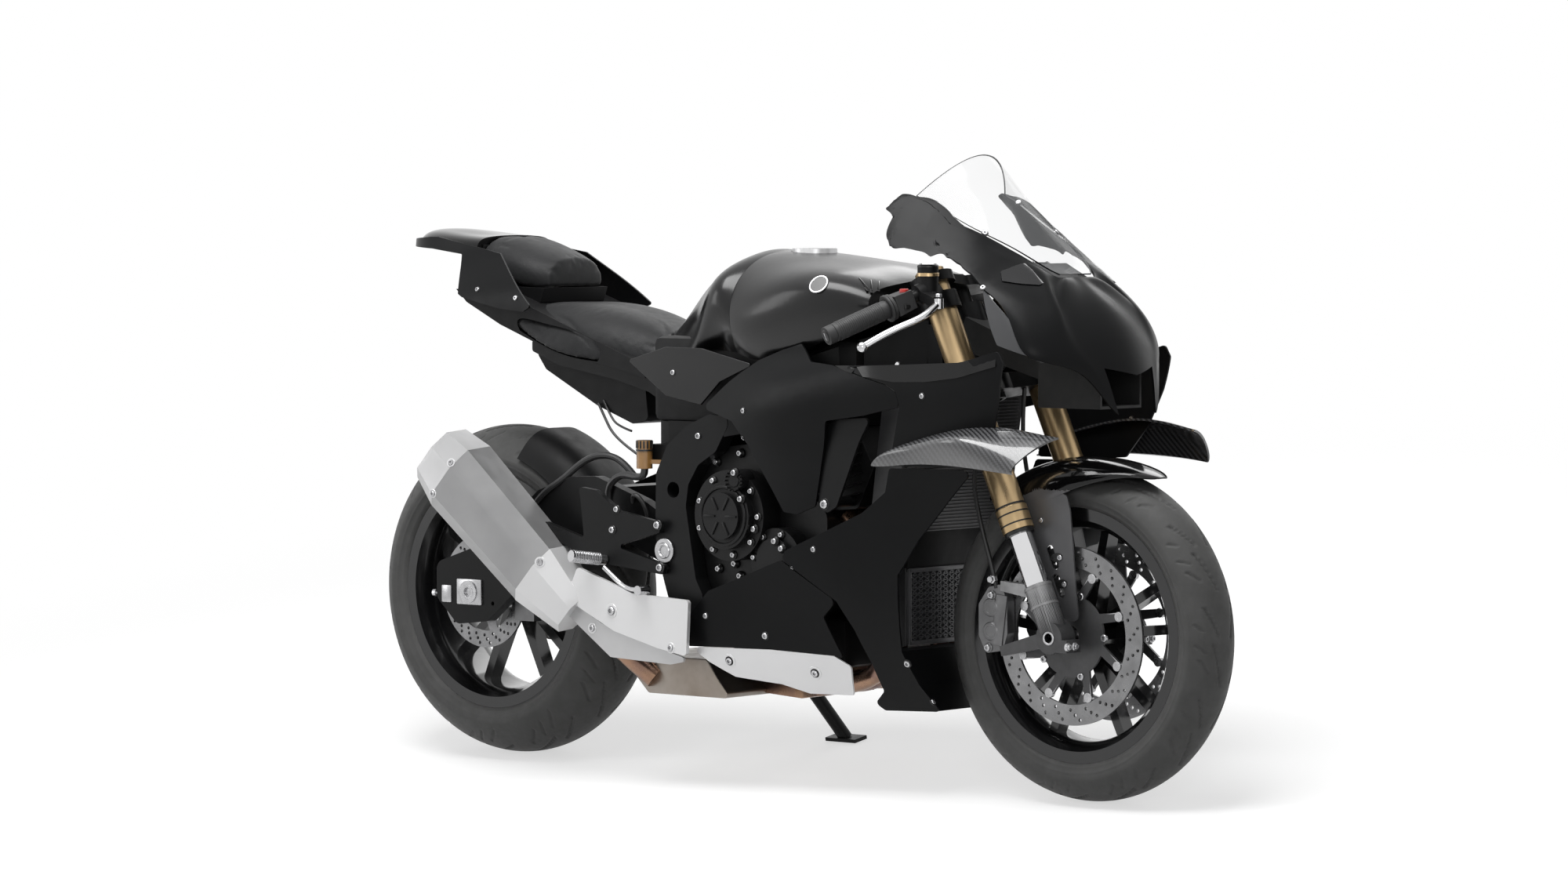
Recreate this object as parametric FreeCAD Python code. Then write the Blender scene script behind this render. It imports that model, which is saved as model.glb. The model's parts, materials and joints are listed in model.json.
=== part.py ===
import FreeCAD, Part
import os
import math

Vector = FreeCAD.Vector

# A sport motorcycle, modelled upright with +X forward, +Y to its left and +Z up, its rear axle over x = 0.
# The whole model is then leaned to its left onto the side stand.

# Driving dimensions, in millimetres and degrees
wheelbase = 1405.0
rake_angle = 24.0
trail = 102.0
lean_angle = 10.0
running_gap = 0.08
seam_gap = 0.6
seat_gap = 0.3
overrun = 5.0
outside_reach = 200.0

# Wheels
rim_bead_radius = 215.8
front_tyre_height = 84.2
rear_tyre_height = 104.2
front_wheel_radius = rim_bead_radius + front_tyre_height
rear_wheel_radius = rim_bead_radius + rear_tyre_height
front_tyre_half_width = 60.0
front_crown_radius = 62.0
front_rim_half_width = 50.0
rear_tyre_half_width = 96.0
rear_crown_radius = 104.0
rear_rim_half_width = 82.0
tyre_wall = 9.0
tyre_shoulder_step = 1.0
rim_flange_height = 13.0
rim_flange_thickness = 5.0
rim_wall = 8.0
rim_well_depth = 17.0
hub_radius = 38.0
spoke_pairs = 5
first_spoke_angle = 18.0
spoke_spread_angle = 12.5
spoke_root_width = 20.0
spoke_tip_width = 17.0
spoke_depth = 30.0

# Brakes
front_disc_radius = 160.0
front_disc_inner_radius = 123.0
front_disc_offset = 60.0
disc_thickness = 5.0
disc_clearance = 4.0
disc_hole_radius = 3.2
disc_hole_groups = 24
disc_hole_row_shares = (0.25, 0.5, 0.75)
disc_hole_turn = 4.0
carrier_outer_radius = 74.0
carrier_inner_radius = 46.0
carrier_bore_radius = 18.5
carrier_arm_width = 15.0
bobbin_count = 8
first_bobbin_angle = 20.0
bobbin_radius = 9.0
bobbin_circle_radius = 115.0
bobbin_proud = 1.5
rear_disc_radius = 110.0
rear_disc_inner_radius = 78.0
rear_disc_offset = 101.0
rear_disc_arm_root = 30.0
rear_disc_arm_tip = 20.0
rear_disc_arm_overlap = 2.0

# Axles
front_axle_radius = 12.5
front_axle_bore = 8.5
front_axle_half_length = 128.0
rear_axle_radius = 14.0
rear_axle_bore = 9.0
rear_axle_half_length = 152.0
rear_hub_half_width = 92.0
rear_hub_bore_radius = 18.0
axle_nut_radius = 22.0
axle_nut_thickness = 8.0
axle_spacer_radius = 18.0
axle_spacer_start = 113.0

# Front fork and steering head
fork_half_spread = 106.0
fork_tube_radius = 27.0
stanchion_radius = 21.5
fork_foot_radius = 25.0
fork_foot_length = 86.0
chrome_length = 100.0
fork_collar_height = 40.0
fork_collar_proud = 2.0
fork_top_height = 947.0
stem_radius = 17.0
stem_bore_radius = 10.0
stem_proud = 10.0
head_tube_radius = 33.0
head_tube_low = 762.0
head_tube_top = 880.0
lower_clamp_height = 722.0
lower_clamp_thickness = 30.0
upper_clamp_height = 908.0
upper_clamp_thickness = 19.2
clamp_wall = 13.0
clamp_head_wall = 4.0
clamp_root_width = 62.0
clamp_tip_width = 50.0

# Sprockets and chain
chain_line = 108.0
chain_pitch = 15.875
rear_sprocket_teeth = 41
front_sprocket_teeth = 16
sprocket_thickness = 6.0
chain_width = 17.0
chain_height = 15.0
chain_wall = 2.0
cush_wall_share = 1.5

# The bay between the rear tyre's front edge and the front tyre's rear edge.
# Pieces in it are placed by shares of its length, so that they follow the wheels.
bay_start = rear_wheel_radius
bay_length = wheelbase - front_wheel_radius - rear_wheel_radius

steer_tan = math.tan(math.radians(rake_angle))
front_axle_place = Vector(wheelbase, 0, front_wheel_radius)
rear_axle_place = Vector(0, 0, rear_wheel_radius)
side = Vector(0, 1, 0)
upright = Vector(0, 0, 1)
forward = Vector(1, 0, 0)
steer_direction = Vector(-math.sin(math.radians(rake_angle)), 0, math.cos(math.radians(rake_angle)))
steer_across = steer_direction.cross(side) * -1

parts = {}


# Shape helpers
def bay_x(share):
    return bay_start + bay_length * share


def bay_point(place):
    # A place is (share along the bay, y, height).
    return Vector(bay_x(place[0]), place[1], place[2])


def bay_box(span_share, heights):
    # A side-view box (rear x, low z, length, height).
    start = bay_x(span_share[0])
    return (start, heights[0], bay_x(span_share[1]) - start, heights[1] - heights[0])


def front_box(place):
    # A side-view box whose place is (distance behind the front axle, low z, length, height).
    return (wheelbase - place[0], place[1], place[2], place[3])


def largest(shape):
    return max(shape.Solids, key=lambda solid: solid.Volume)


def moved(shape, x=0.0, y=0.0, z=0.0):
    copy = shape.copy()
    copy.translate(Vector(x, y, z))
    return copy


def mirrored(shape):
    return shape.mirror(Vector(0, 0, 0), side)


def both_sides(shape):
    return Part.makeCompound([shape, mirrored(shape)])


def joined(shapes):
    return shapes[0].fuse(shapes[1:]).removeSplitter()


def group(shapes):
    return Part.makeCompound(shapes)


def rod(start, end, radius):
    line = end - start
    return Part.makeCylinder(radius, line.Length, start, line)


def sleeve(start, end, radius, bore):
    return rod(start, end, radius).cut(rod(start, end, bore))


def cross_rod(x, z, y_start, y_end, radius):
    return rod(Vector(x, y_start, z), Vector(x, y_end, z), radius)


def bay_disc(place, y_start, y_end, radius):
    # A round boss across the bike at a place (share along the bay, height).
    return cross_rod(bay_x(place[0]), place[1], y_start, y_end, radius)


def block(x_low, x_high, y_low, y_high, z_low, z_high):
    return Part.makeBox(x_high - x_low, y_high - y_low, z_high - z_low, Vector(x_low, y_low, z_low))


def box_block(box, y_low, y_high):
    return block(box[0], box[0] + box[2], y_low, y_high, box[1], box[1] + box[3])


def rectangle(centre, across, rise, width, height):
    a = Vector(across) * (width / 2)
    b = Vector(rise) * (height / 2)
    corners = [centre - a - b, centre + a - b, centre + a + b, centre - a + b]
    return Part.makePolygon(corners + corners[:1])


def tapered_bar(start, end, start_size, end_size, across):
    along = (end - start).normalize()
    rise = along.cross(across).normalize()
    wide = rise.cross(along).normalize()
    first = rectangle(start, wide, rise, start_size[0], start_size[1])
    last = rectangle(end, wide, rise, end_size[0], end_size[1])
    return Part.makeLoft([first, last], True, True)


def rounded_wire(points, radius):
    # A closed outline whose corners are arcs of the radius, or as large as the sides beside them allow.
    count = len(points)
    arcs = []
    for index, corner in enumerate(points):
        before = points[index - 1] - corner
        after = points[(index + 1) % count] - corner
        half_turn = (math.pi - before.getAngle(after)) / 2
        reach = min(radius * math.tan(half_turn), 0.45 * min(before.Length, after.Length))
        if half_turn < math.radians(2) or radius <= 0:
            arcs.append((corner, None, corner))
            continue
        before.normalize()
        after.normalize()
        arc_radius = reach / math.tan(half_turn)
        bisector = (before + after).normalize()
        middle = corner + bisector * (arc_radius / math.cos(half_turn) - arc_radius)
        arcs.append((corner + before * reach, middle, corner + after * reach))
    edges = []
    for index, (start, middle, end) in enumerate(arcs):
        if middle is not None:
            edges.append(Part.Arc(start, middle, end).toShape())
        following = arcs[(index + 1) % count][0]
        if (following - end).Length > 1e-6:
            edges.append(Part.makeLine(end, following))
    return Part.Wire(edges)


def side_plate(box, shares, y_start, y_end, radius=0.0):
    # An outline of (along, up) shares of a side-view box, as thick as from one y to the other.
    x_start, z_start, length, height = box
    points = [Vector(x_start + length * along, y_start, z_start + height * up) for along, up in shares]
    return Part.Face(rounded_wire(points, radius)).extrude(Vector(0, y_end - y_start, 0))


def span_plate(start, end, shares, y_start, y_end, radius):
    # An outline of shares along the line from start to end in side view, and across it.
    span = end - start
    rise = Vector(-span.z, 0, span.x)
    points = [start + span * along + rise * up + side * y_start for along, up in shares]
    return Part.Face(rounded_wire(points, radius)).extrude(Vector(0, y_end - y_start, 0))


def tube(points, radius):
    # Straight runs joined by tangent arcs, each as large as its two runs allow.
    edges = []
    at = points[0]
    for before, corner, after in zip(points, points[1:], points[2:]):
        back = before - corner
        onward = after - corner
        half_turn = (math.pi - back.getAngle(onward)) / 2
        reach = 0.45 * min(back.Length, onward.Length)
        back.normalize()
        onward.normalize()
        arc_radius = reach / math.tan(half_turn)
        bisector = (back + onward).normalize()
        middle = corner + bisector * (arc_radius / math.cos(half_turn) - arc_radius)
        start = corner + back * reach
        end = corner + onward * reach
        edges.append(Part.makeLine(at, start))
        edges.append(Part.Arc(start, middle, end).toShape())
        at = end
    edges.append(Part.makeLine(at, points[-1]))
    ring = Part.Wire(Part.makeCircle(radius, points[0], points[1] - points[0]))
    return Part.Wire(edges).makePipeShell([ring], True, False)


def arch_section(points):
    curve = Part.BSplineCurve()
    curve.interpolate(points)
    return Part.Wire([curve.toShape(), Part.makeLine(points[-1], points[0])])


def arch_loft(box, rows):
    # Each row is (along, [(out, up), ...]) from the middle line to the right edge of one cross section.
    # A box is (rear x, low z, length, half width, height).
    x_start, z_start, length, half_width, height = box
    sections = []
    for along, half in rows:
        x = x_start + length * along
        right = [Vector(x, -half_width * out, z_start + height * up) for out, up in half]
        left = [Vector(point.x, -point.y, point.z) for point in reversed(right)]
        sections.append(arch_section(left[:-1] + right))
    return Part.makeLoft(sections, True, False)


def sheet_face(grid):
    surface = Part.BSplineSurface()
    surface.interpolate(grid)
    return surface.toShape()


def grid_points(box, rows):
    # Each row holds (along, out, up) shares of a box (rear x, low z, length, half width, height), right side.
    x_start, z_start, length, half_width, height = box
    grid = []
    for row in rows:
        line = []
        for along, out, up in row:
            line.append(Vector(x_start + length * along, -half_width * out, z_start + height * up))
        grid.append(line)
    return grid


def inner_grid(grid, thickness):
    rows = len(grid)
    columns = len(grid[0])
    result = []
    for i in range(rows):
        line = []
        for j in range(columns):
            down = grid[min(i + 1, rows - 1)][j] - grid[max(i - 1, 0)][j]
            across = grid[i][min(j + 1, columns - 1)] - grid[i][max(j - 1, 0)]
            line.append(grid[i][j] + down.cross(across).normalize() * thickness)
        result.append(line)
    return result


def curved_shell(grid, thickness):
    # A sheet through the grid with its inner face a wall's thickness behind it, closed by ruled edges.
    outer = sheet_face(grid)
    inner = sheet_face(inner_grid(grid, thickness))
    faces = [outer, inner]
    for outer_edge, inner_edge in zip(outer.Edges, inner.Edges):
        faces.append(Part.makeRuledSurface(outer_edge, inner_edge))
    shell = Part.makeShell(faces)
    shell.sewShape()
    solid = Part.makeSolid(shell)
    if solid.Volume < 0:
        solid.reverse()
    return solid


def steering_axis_x(z):
    return wheelbase + trail - z * steer_tan


def fork_point(y, height):
    return Vector(wheelbase - (height - front_wheel_radius) * steer_tan, y, height)


def axis_point(height):
    return Vector(steering_axis_x(height), 0, height)


# Wheels
def ring_of(profile, centre):
    points = [centre + Vector(0, y, radius) for y, radius in profile]
    face = Part.Face(Part.makePolygon(points + points[:1]))
    return face.revolve(centre, side, 360)


def tyre(centre, radius, half_width, crown_radius, rim_half_width):
    # The crown is one round arc from shoulder to shoulder, then the side walls run in to the beads.
    crown_steps = 3
    crown_centre = radius - crown_radius
    shoulder_angle = math.asin((half_width - tyre_shoulder_step) / crown_radius)
    bead = rim_half_width - rim_flange_thickness - seat_gap
    outer = []
    for step in range(-crown_steps, crown_steps + 1):
        angle = shoulder_angle * step / crown_steps
        outer.append((crown_radius * math.sin(angle), crown_centre + crown_radius * math.cos(angle)))
    flange_top = rim_bead_radius + rim_flange_height
    wall_top = (bead + rim_flange_thickness + seat_gap, flange_top + seat_gap)
    outer += [wall_top, (bead, flange_top), (bead, rim_bead_radius + seat_gap)]
    outer.append((bead - tyre_wall * 1.4, rim_bead_radius + seat_gap))
    inner_side = half_width - tyre_wall
    inner = [(inner_side, crown_centre + crown_radius * math.cos(shoulder_angle) * 0.8)]
    inner.append((inner_side * 0.55, radius - tyre_wall * 1.9))
    inner += [(-y, r) for y, r in reversed(inner)]
    outer += inner
    outer += [(-(bead - tyre_wall * 1.4), rim_bead_radius + seat_gap), (-bead, rim_bead_radius + seat_gap)]
    outer += [(-bead, flange_top), (-wall_top[0], wall_top[1])]
    return ring_of(outer, centre)


def rim(centre, half_width, hub_half_width, bore_radius):
    bead = half_width - rim_flange_thickness
    top = rim_bead_radius + rim_flange_height
    well = rim_bead_radius - rim_well_depth
    half = [(half_width, rim_bead_radius - rim_wall), (half_width, top), (bead, top), (bead, rim_bead_radius)]
    half += [(bead * 0.7, rim_bead_radius - seam_gap), (bead * 0.45, well)]
    profile = half + [(-y, r) for y, r in reversed(half)]
    profile += [(-bead * 0.72, well - rim_wall * 0.6), (-bead * 0.5, well - rim_wall)]
    profile += [(bead * 0.5, well - rim_wall), (bead * 0.72, well - rim_wall * 0.6)]
    barrel = ring_of(profile, centre)
    reach = well - rim_wall * 0.5
    pieces = []
    for index in range(spoke_pairs):
        middle = 360.0 * index / spoke_pairs + first_spoke_angle
        for sign in (-1, 1):
            root = math.radians(middle + sign * spoke_spread_angle * 1.1)
            tip = math.radians(middle + sign * spoke_spread_angle)
            start = centre + Vector(math.cos(root), 0, math.sin(root)) * (hub_radius * 0.8)
            end = centre + Vector(math.cos(tip), 0, math.sin(tip)) * reach
            pieces.append(tapered_bar(start, end, (spoke_depth * 1.2, spoke_root_width),
                                      (spoke_depth, spoke_tip_width), side))
    hub = rod(centre - side * hub_half_width, centre + side * hub_half_width, hub_radius)
    solid = joined([barrel, hub] + pieces)
    return solid.cut(rod(centre - side * half_width * 3, centre + side * half_width * 3, bore_radius))


def perforated_disc(centre, y, radius, inner_radius):
    start = centre + side * (y - disc_thickness / 2)
    end = centre + side * (y + disc_thickness / 2)
    disc = sleeve(start, end, radius, inner_radius)
    band = radius - inner_radius
    holes = []
    for index in range(disc_hole_groups):
        turn = 360.0 * index / disc_hole_groups
        for row, share in enumerate(disc_hole_row_shares):
            angle = math.radians(turn + row * disc_hole_turn)
            place = Vector(math.cos(angle), 0, math.sin(angle)) * (inner_radius + band * share)
            holes.append(rod(start + place - side * overrun, end + place + side * overrun, disc_hole_radius))
    return disc.cut(holes)


def bobbin_places():
    places = []
    for index in range(bobbin_count):
        angle = math.radians(360.0 * index / bobbin_count + first_bobbin_angle)
        places.append((angle, Vector(math.cos(angle), 0, math.sin(angle)) * bobbin_circle_radius))
    return places


def disc_carrier(centre, y):
    # The dark carrier inside a front disc, with one arm and one bobbin for each fixing.
    middle = centre + side * y
    half = side * (disc_thickness / 2)
    pieces = [rod(middle - half, middle + half, carrier_outer_radius)]
    for angle, place in bobbin_places():
        root = Vector(math.cos(angle + 0.35), 0, math.sin(angle + 0.35)) * carrier_inner_radius
        pieces.append(tapered_bar(middle + root, middle + place, (disc_thickness, carrier_arm_width * 1.3),
                                  (disc_thickness, carrier_arm_width), side))
        pieces.append(rod(middle + place - half - side * bobbin_proud, middle + place + half + side * bobbin_proud,
                          bobbin_radius - seat_gap))
    return joined(pieces).cut(rod(middle - half * 3, middle + half * 3, carrier_bore_radius))


def sprocket(x, z, y, teeth, bore_radius):
    pitch_radius = chain_pitch / (2 * math.sin(math.pi / teeth))
    tip = pitch_radius + chain_pitch * 0.28
    root = pitch_radius - chain_pitch * 0.28
    points = []
    for index in range(teeth):
        for offset, radius in ((0.0, root), (0.35, tip), (0.65, tip)):
            angle = 2 * math.pi * (index + offset) / teeth
            points.append(Vector(x + radius * math.cos(angle), y - sprocket_thickness / 2,
                                 z + radius * math.sin(angle)))
    plate = Part.Face(Part.makePolygon(points + points[:1])).extrude(Vector(0, sprocket_thickness, 0))
    return plate.cut(cross_rod(x, z, y - overrun * 2, y + overrun * 2, bore_radius))


def front_wheel():
    centre = front_axle_place
    parts["front_tyre"] = tyre(centre, front_wheel_radius, front_tyre_half_width, front_crown_radius,
                               front_rim_half_width)
    parts["front_rim"] = rim(centre, front_rim_half_width, front_disc_offset - disc_thickness / 2 - seat_gap,
                             front_axle_radius + running_gap)
    disc = perforated_disc(centre, -front_disc_offset, front_disc_radius, front_disc_inner_radius)
    carrier = disc_carrier(centre, -front_disc_offset)
    for angle, place in bobbin_places():
        spot = centre + place
        disc = disc.cut(cross_rod(spot.x, spot.z, -front_disc_offset * 1.2, -front_disc_offset * 0.8,
                                  bobbin_radius))
    parts["front_discs"] = group([disc, carrier, mirrored(disc), mirrored(carrier)])


def rear_wheel():
    centre = rear_axle_place
    parts["rear_tyre"] = tyre(centre, rear_wheel_radius, rear_tyre_half_width, rear_crown_radius,
                              rear_rim_half_width)
    parts["rear_rim"] = rim(centre, rear_rim_half_width, rear_hub_half_width, rear_axle_radius + running_gap)
    disc = perforated_disc(centre, -rear_disc_offset, rear_disc_radius, rear_disc_inner_radius)
    middle = centre - side * rear_disc_offset
    hat = sleeve(middle - side * (disc_thickness / 2), centre - side * rear_hub_half_width,
                 hub_radius * 0.9, rear_hub_bore_radius)
    arms = []
    for index in range(spoke_pairs):
        angle = 2 * math.pi * index / spoke_pairs
        out = Vector(math.cos(angle), 0, math.sin(angle))
        arms.append(tapered_bar(middle + out * hub_radius * 0.7,
                                middle + out * (rear_disc_inner_radius + rear_disc_arm_overlap),
                                (disc_thickness, rear_disc_arm_root), (disc_thickness, rear_disc_arm_tip), side))
    parts["rear_disc"] = joined([disc, hat] + arms)
    cog = sprocket(centre.x, centre.z, chain_line, rear_sprocket_teeth, rear_hub_bore_radius)
    cush = sleeve(centre + side * (rear_hub_half_width + seat_gap), centre + side * chain_line,
                  hub_radius * cush_wall_share, rear_hub_bore_radius)
    parts["rear_sprocket"] = joined([cog, cush])


# Chain
front_sprocket_place = (0.4076, 412.0)
front_sprocket_depth = 46.0
front_shaft_proud = 10.0


def chain():
    # A closed channel round both sprockets: two side bands that straddle the teeth, joined beyond the tips.
    front_x = bay_x(front_sprocket_place[0])
    front_z = front_sprocket_place[1]
    rear_pitch = chain_pitch / (2 * math.sin(math.pi / rear_sprocket_teeth))
    front_pitch = chain_pitch / (2 * math.sin(math.pi / front_sprocket_teeth))

    def loop(rear_radius, front_radius, y_start, y_end):
        rear = Vector(rear_axle_place.x, y_start, rear_axle_place.z)
        ahead = Vector(front_x, y_start, front_z)
        span = ahead - rear
        tilt = math.atan2(span.z, span.x)
        spread = math.acos((rear_radius - front_radius) / span.Length)
        points = []
        for centre, radius in ((rear, rear_radius), (ahead, front_radius)):
            for sign in (1, -1):
                angle = tilt + sign * spread
                points.append(centre + Vector(math.cos(angle), 0, math.sin(angle)) * radius)
        rear_top, rear_low, front_top, front_low = points
        back = rear - Vector(math.cos(tilt), 0, math.sin(tilt)) * rear_radius
        nose = ahead + Vector(math.cos(tilt), 0, math.sin(tilt)) * front_radius
        wire = Part.Wire([Part.makeLine(rear_top, front_top), Part.Arc(front_top, nose, front_low).toShape(),
                          Part.makeLine(front_low, rear_low), Part.Arc(rear_low, back, rear_top).toShape()])
        return Part.Face(wire).extrude(Vector(0, y_end - y_start, 0))

    low = chain_line - chain_width / 2
    high = chain_line + chain_width / 2
    half = chain_height / 2
    tip = chain_pitch * 0.28 + seat_gap * 2
    band = loop(rear_pitch + half + chain_wall, front_pitch + half + chain_wall, low, high)
    band = band.cut(loop(rear_pitch - half, front_pitch - half, low - overrun, high + overrun))
    slot = sprocket_thickness / 2 + seat_gap
    channel = loop(rear_pitch + tip, front_pitch + tip, chain_line - slot, chain_line + slot)
    loop_solid = band.cut(channel)
    cog = sprocket(front_x, front_z, chain_line, front_sprocket_teeth, rear_axle_radius)
    shaft = cross_rod(front_x, front_z, chain_line - front_sprocket_depth, chain_line + front_shaft_proud,
                      rear_axle_radius)
    parts["chain"] = group([loop_solid, joined([cog, shaft])])


# Steering body
caliper_place = (191.0, 262.0, 66.0, 126.0)
caliper_shares = [(0.25, 0.0), (0.85, 0.05), (1.0, 0.3), (0.98, 0.75), (0.8, 1.0), (0.35, 0.95), (0.0, 0.7),
                  (0.0, 0.25)]
caliper_inner_depth = 24.0
caliper_outer_depth = 26.0
caliper_corner_radius = 10.0
caliper_rim_clearance = 3.0
caliper_lug_offset = 30.0
caliper_lug_shares = ((0.9, 0.98), (0.9, 0.05))
upper_bracket_root = (22.4, 24.0)
lower_bracket_root = (22.4, 30.0)
bracket_tip = (14.0, 18.0)
upper_bracket_height = 78.0


def front_fork():
    foot_top_height = front_wheel_radius + fork_foot_length
    tube_low_height = foot_top_height + chrome_length
    tubes = []
    chromes = []
    feet = []
    for sign in (-1, 1):
        y = sign * fork_half_spread
        top = fork_point(y, fork_top_height)
        low = fork_point(y, tube_low_height)
        collar = fork_point(y, tube_low_height + fork_collar_height)
        tubes.append(joined([rod(low, top, fork_tube_radius), rod(low, collar, fork_tube_radius + fork_collar_proud)]))
        foot_top = fork_point(y, foot_top_height)
        chromes.append(rod(foot_top, low, stanchion_radius))
        feet.append(fork_foot(sign, foot_top))
    parts["fork_tubes"] = group(tubes)
    parts["fork_stanchions"] = group(chromes)
    parts["fork_feet"] = group([foot.cut(parts["fork_stanchions"]) for foot in feet])
    half = side * front_axle_half_length
    parts["front_axle"] = sleeve(front_axle_place - half, front_axle_place + half, front_axle_radius,
                                 front_axle_bore)


def fork_foot(sign, top):
    outer = sign * (fork_half_spread + fork_foot_radius * 0.8)
    inner = sign * (fork_half_spread - fork_foot_radius * 0.8)
    axle_low, axle_high = sorted((inner, outer))
    centre = Vector(wheelbase, sign * fork_half_spread, front_wheel_radius)
    barrel = rod(centre, top, fork_foot_radius)
    eye = cross_rod(wheelbase, front_wheel_radius, axle_low, axle_high, fork_foot_radius * 1.15)
    clamp = block(wheelbase + fork_foot_radius * 0.4, wheelbase + fork_foot_radius * 1.6, axle_low, axle_high,
                  front_wheel_radius - fork_foot_radius, front_wheel_radius - fork_foot_radius * 0.1)
    lug_y = sign * (front_disc_offset + caliper_lug_offset)
    x_start, z_start, length, height = front_box(caliper_place)
    upper, lower = [Vector(x_start + length * along, lug_y, z_start + height * up)
                    for along, up in caliper_lug_shares]
    arm_start = fork_point(sign * fork_half_spread, front_wheel_radius + upper_bracket_height)
    arms = [tapered_bar(arm_start, upper, upper_bracket_root, bracket_tip, side),
            tapered_bar(centre, lower, lower_bracket_root, bracket_tip, side)]
    body = joined([barrel, eye, clamp] + arms)
    return body.cut(cross_rod(wheelbase, front_wheel_radius, -front_axle_half_length * 1.5,
                              front_axle_half_length * 1.5, front_axle_radius + running_gap))


def front_calipers():
    low = front_disc_offset - caliper_inner_depth
    high = front_disc_offset + caliper_outer_depth
    body = side_plate(front_box(caliper_place), caliper_shares, -high, -low, caliper_corner_radius)
    slot = disc_thickness / 2 + caliper_rim_clearance / 2
    body = body.cut(rod(front_axle_place - side * (front_disc_offset + slot),
                        front_axle_place - side * (front_disc_offset - slot), front_disc_radius + disc_clearance))
    body = body.cut(rod(front_axle_place - side * (front_rim_half_width + caliper_rim_clearance), front_axle_place,
                        rim_bead_radius))
    parts["front_calipers"] = both_sides(largest(body.cut(parts["fork_feet"])))


def clamp_plate(height, thickness):
    centre = axis_point(height)
    offset = fork_point(fork_half_spread, height) - centre
    ahead = steer_across * offset.dot(steer_across)
    rise = steer_direction * thickness
    eyes = [centre + ahead + side * (sign * fork_half_spread) for sign in (-1, 1)]
    pieces = [rod(centre, centre + rise, head_tube_radius + clamp_head_wall)]
    for eye in eyes:
        pieces.append(rod(eye, eye + rise, fork_tube_radius + clamp_wall))
        pieces.append(tapered_bar(centre + rise * 0.5, eye + rise * 0.5, (clamp_root_width, thickness),
                                  (clamp_tip_width, thickness), steer_across))
    body = joined(pieces)
    for eye in eyes:
        body = body.cut(rod(eye - rise, eye + rise * 3, fork_tube_radius + seat_gap))
    return body, centre


def clamps():
    lower, low_centre = clamp_plate(lower_clamp_height, lower_clamp_thickness)
    upper, up_centre = clamp_plate(upper_clamp_height, upper_clamp_thickness)
    stem_start = low_centre - steer_direction * stem_proud
    stem_end = up_centre + steer_direction * (upper_clamp_thickness + stem_proud)
    extra = steer_direction * overrun
    lower = joined([lower, rod(stem_start, stem_end, stem_radius)])
    lower = lower.cut(rod(stem_start - extra, stem_end + extra, stem_bore_radius))
    upper = upper.cut(rod(up_centre - extra, stem_end + extra, stem_radius + seat_gap))
    parts["triple_clamps"] = group([lower, upper])


# Each row of the fender is (angle round the axle, half width, crown and skirt as shares of the tyre's sizes).
fender_shares = [(128.0, 1.0, 1.053, 0.987), (118.0, 1.167, 1.057, 0.873), (108.0, 1.25, 1.06, 0.8),
                 (96.0, 1.283, 1.06, 0.827), (84.0, 1.267, 1.063, 0.893), (74.0, 1.1, 1.07, 0.973),
                 (66.0, 0.733, 1.08, 1.04), (61.0, 0.233, 1.09, 1.077)]
fender_thickness = 3.4
fender_plate_place = (105.0, 320.0, 140.0, 240.0)
fender_plate_shares = [
    (0.029, 0.8), (0.157, 0.908), (0.443, 0.95), (0.757, 0.983), (0.821, 0.85), (0.857, 0.637),
    (0.9, 0.317), (0.964, 0.017), (0.629, 0.058), (0.279, 0.375)]
fender_slot_shares = ((0.54, 0.5), (0.636, 0.29))
fender_slot_half_length = 15.0
fender_slot_radius = 8.0
fender_corner_radius = 12.0


def front_fender():
    # A curved shell over the tyre with deep skirts, and on each side a flat plate against the fork leg.
    rows = []
    for degrees, wide, crown_share, skirt_share in fender_shares:
        angle = math.radians(degrees)
        crown = front_wheel_radius * crown_share
        skirt = front_wheel_radius * skirt_share
        line = []
        for turn in (-90.0, -60.0, -30.0, 0.0, 30.0, 60.0, 90.0):
            sine = math.sin(math.radians(abs(turn))) ** 0.8
            cosine = max(0.0, math.cos(math.radians(turn))) ** 0.8
            radius = skirt + (crown - skirt) * cosine
            y = math.copysign(front_tyre_half_width * wide * sine, turn)
            line.append(front_axle_place + Vector(radius * math.cos(angle), y, radius * math.sin(angle)))
        rows.append(line)
    top = curved_shell(rows, -fender_thickness)
    outer = fork_half_spread - fork_tube_radius - fork_collar_proud - seat_gap
    box = front_box(fender_plate_place)
    plate = side_plate(box, fender_plate_shares, -outer, fender_thickness - outer, fender_corner_radius)
    reach = steer_direction * fender_slot_half_length
    across = fender_slot_radius * 2
    for along, up in fender_slot_shares:
        place = Vector(box[0] + box[2] * along, -outer, box[1] + box[3] * up)
        for end in (place - reach, place + reach):
            plate = plate.cut(cross_rod(end.x, end.z, -outer - overrun, overrun - outer, fender_slot_radius))
        plate = plate.cut(tapered_bar(place - reach, place + reach, (across, across), (across, across), side))
    parts["front_fender"] = joined([top, plate, mirrored(plate)])


bar_root = (1128.0, 232.0, 884.0)
bar_end = (1076.0, 345.0, 835.0)
bar_radius = 11.0
bar_inner_length = 92.0
bar_end_inset = 18.0
clip_height = 888.0
clip_half_height = 16.0
clip_wall = 9.0
clip_link_root = (26.0, 26.0)
clip_link_tip = (22.0, 22.0)
grip_radius = 17.0
grip_end_inset = 16.0
grip_flange_proud = 7.0
grip_flange_width = 6.0
bar_weight_gap = 0.3
switch_start = 7.0
switch_end = 45.0
switch_root = (38.0, 42.0)
switch_tip = (34.0, 36.0)
perch_start = 60.0
perch_end = 75.0
perch_wall = 8.0
perch_root = (16.0, 20.0)
perch_tip = (18.0, 18.0)
lever_pivot = (1212.0, 196.0, 892.0)
lever_knees = ((1210.0, 238.0, 868.0), (1168.0, 276.0, 845.0))
lever_ball = (1130.0, 310.0, 816.0)
lever_radius = 6.5
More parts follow.
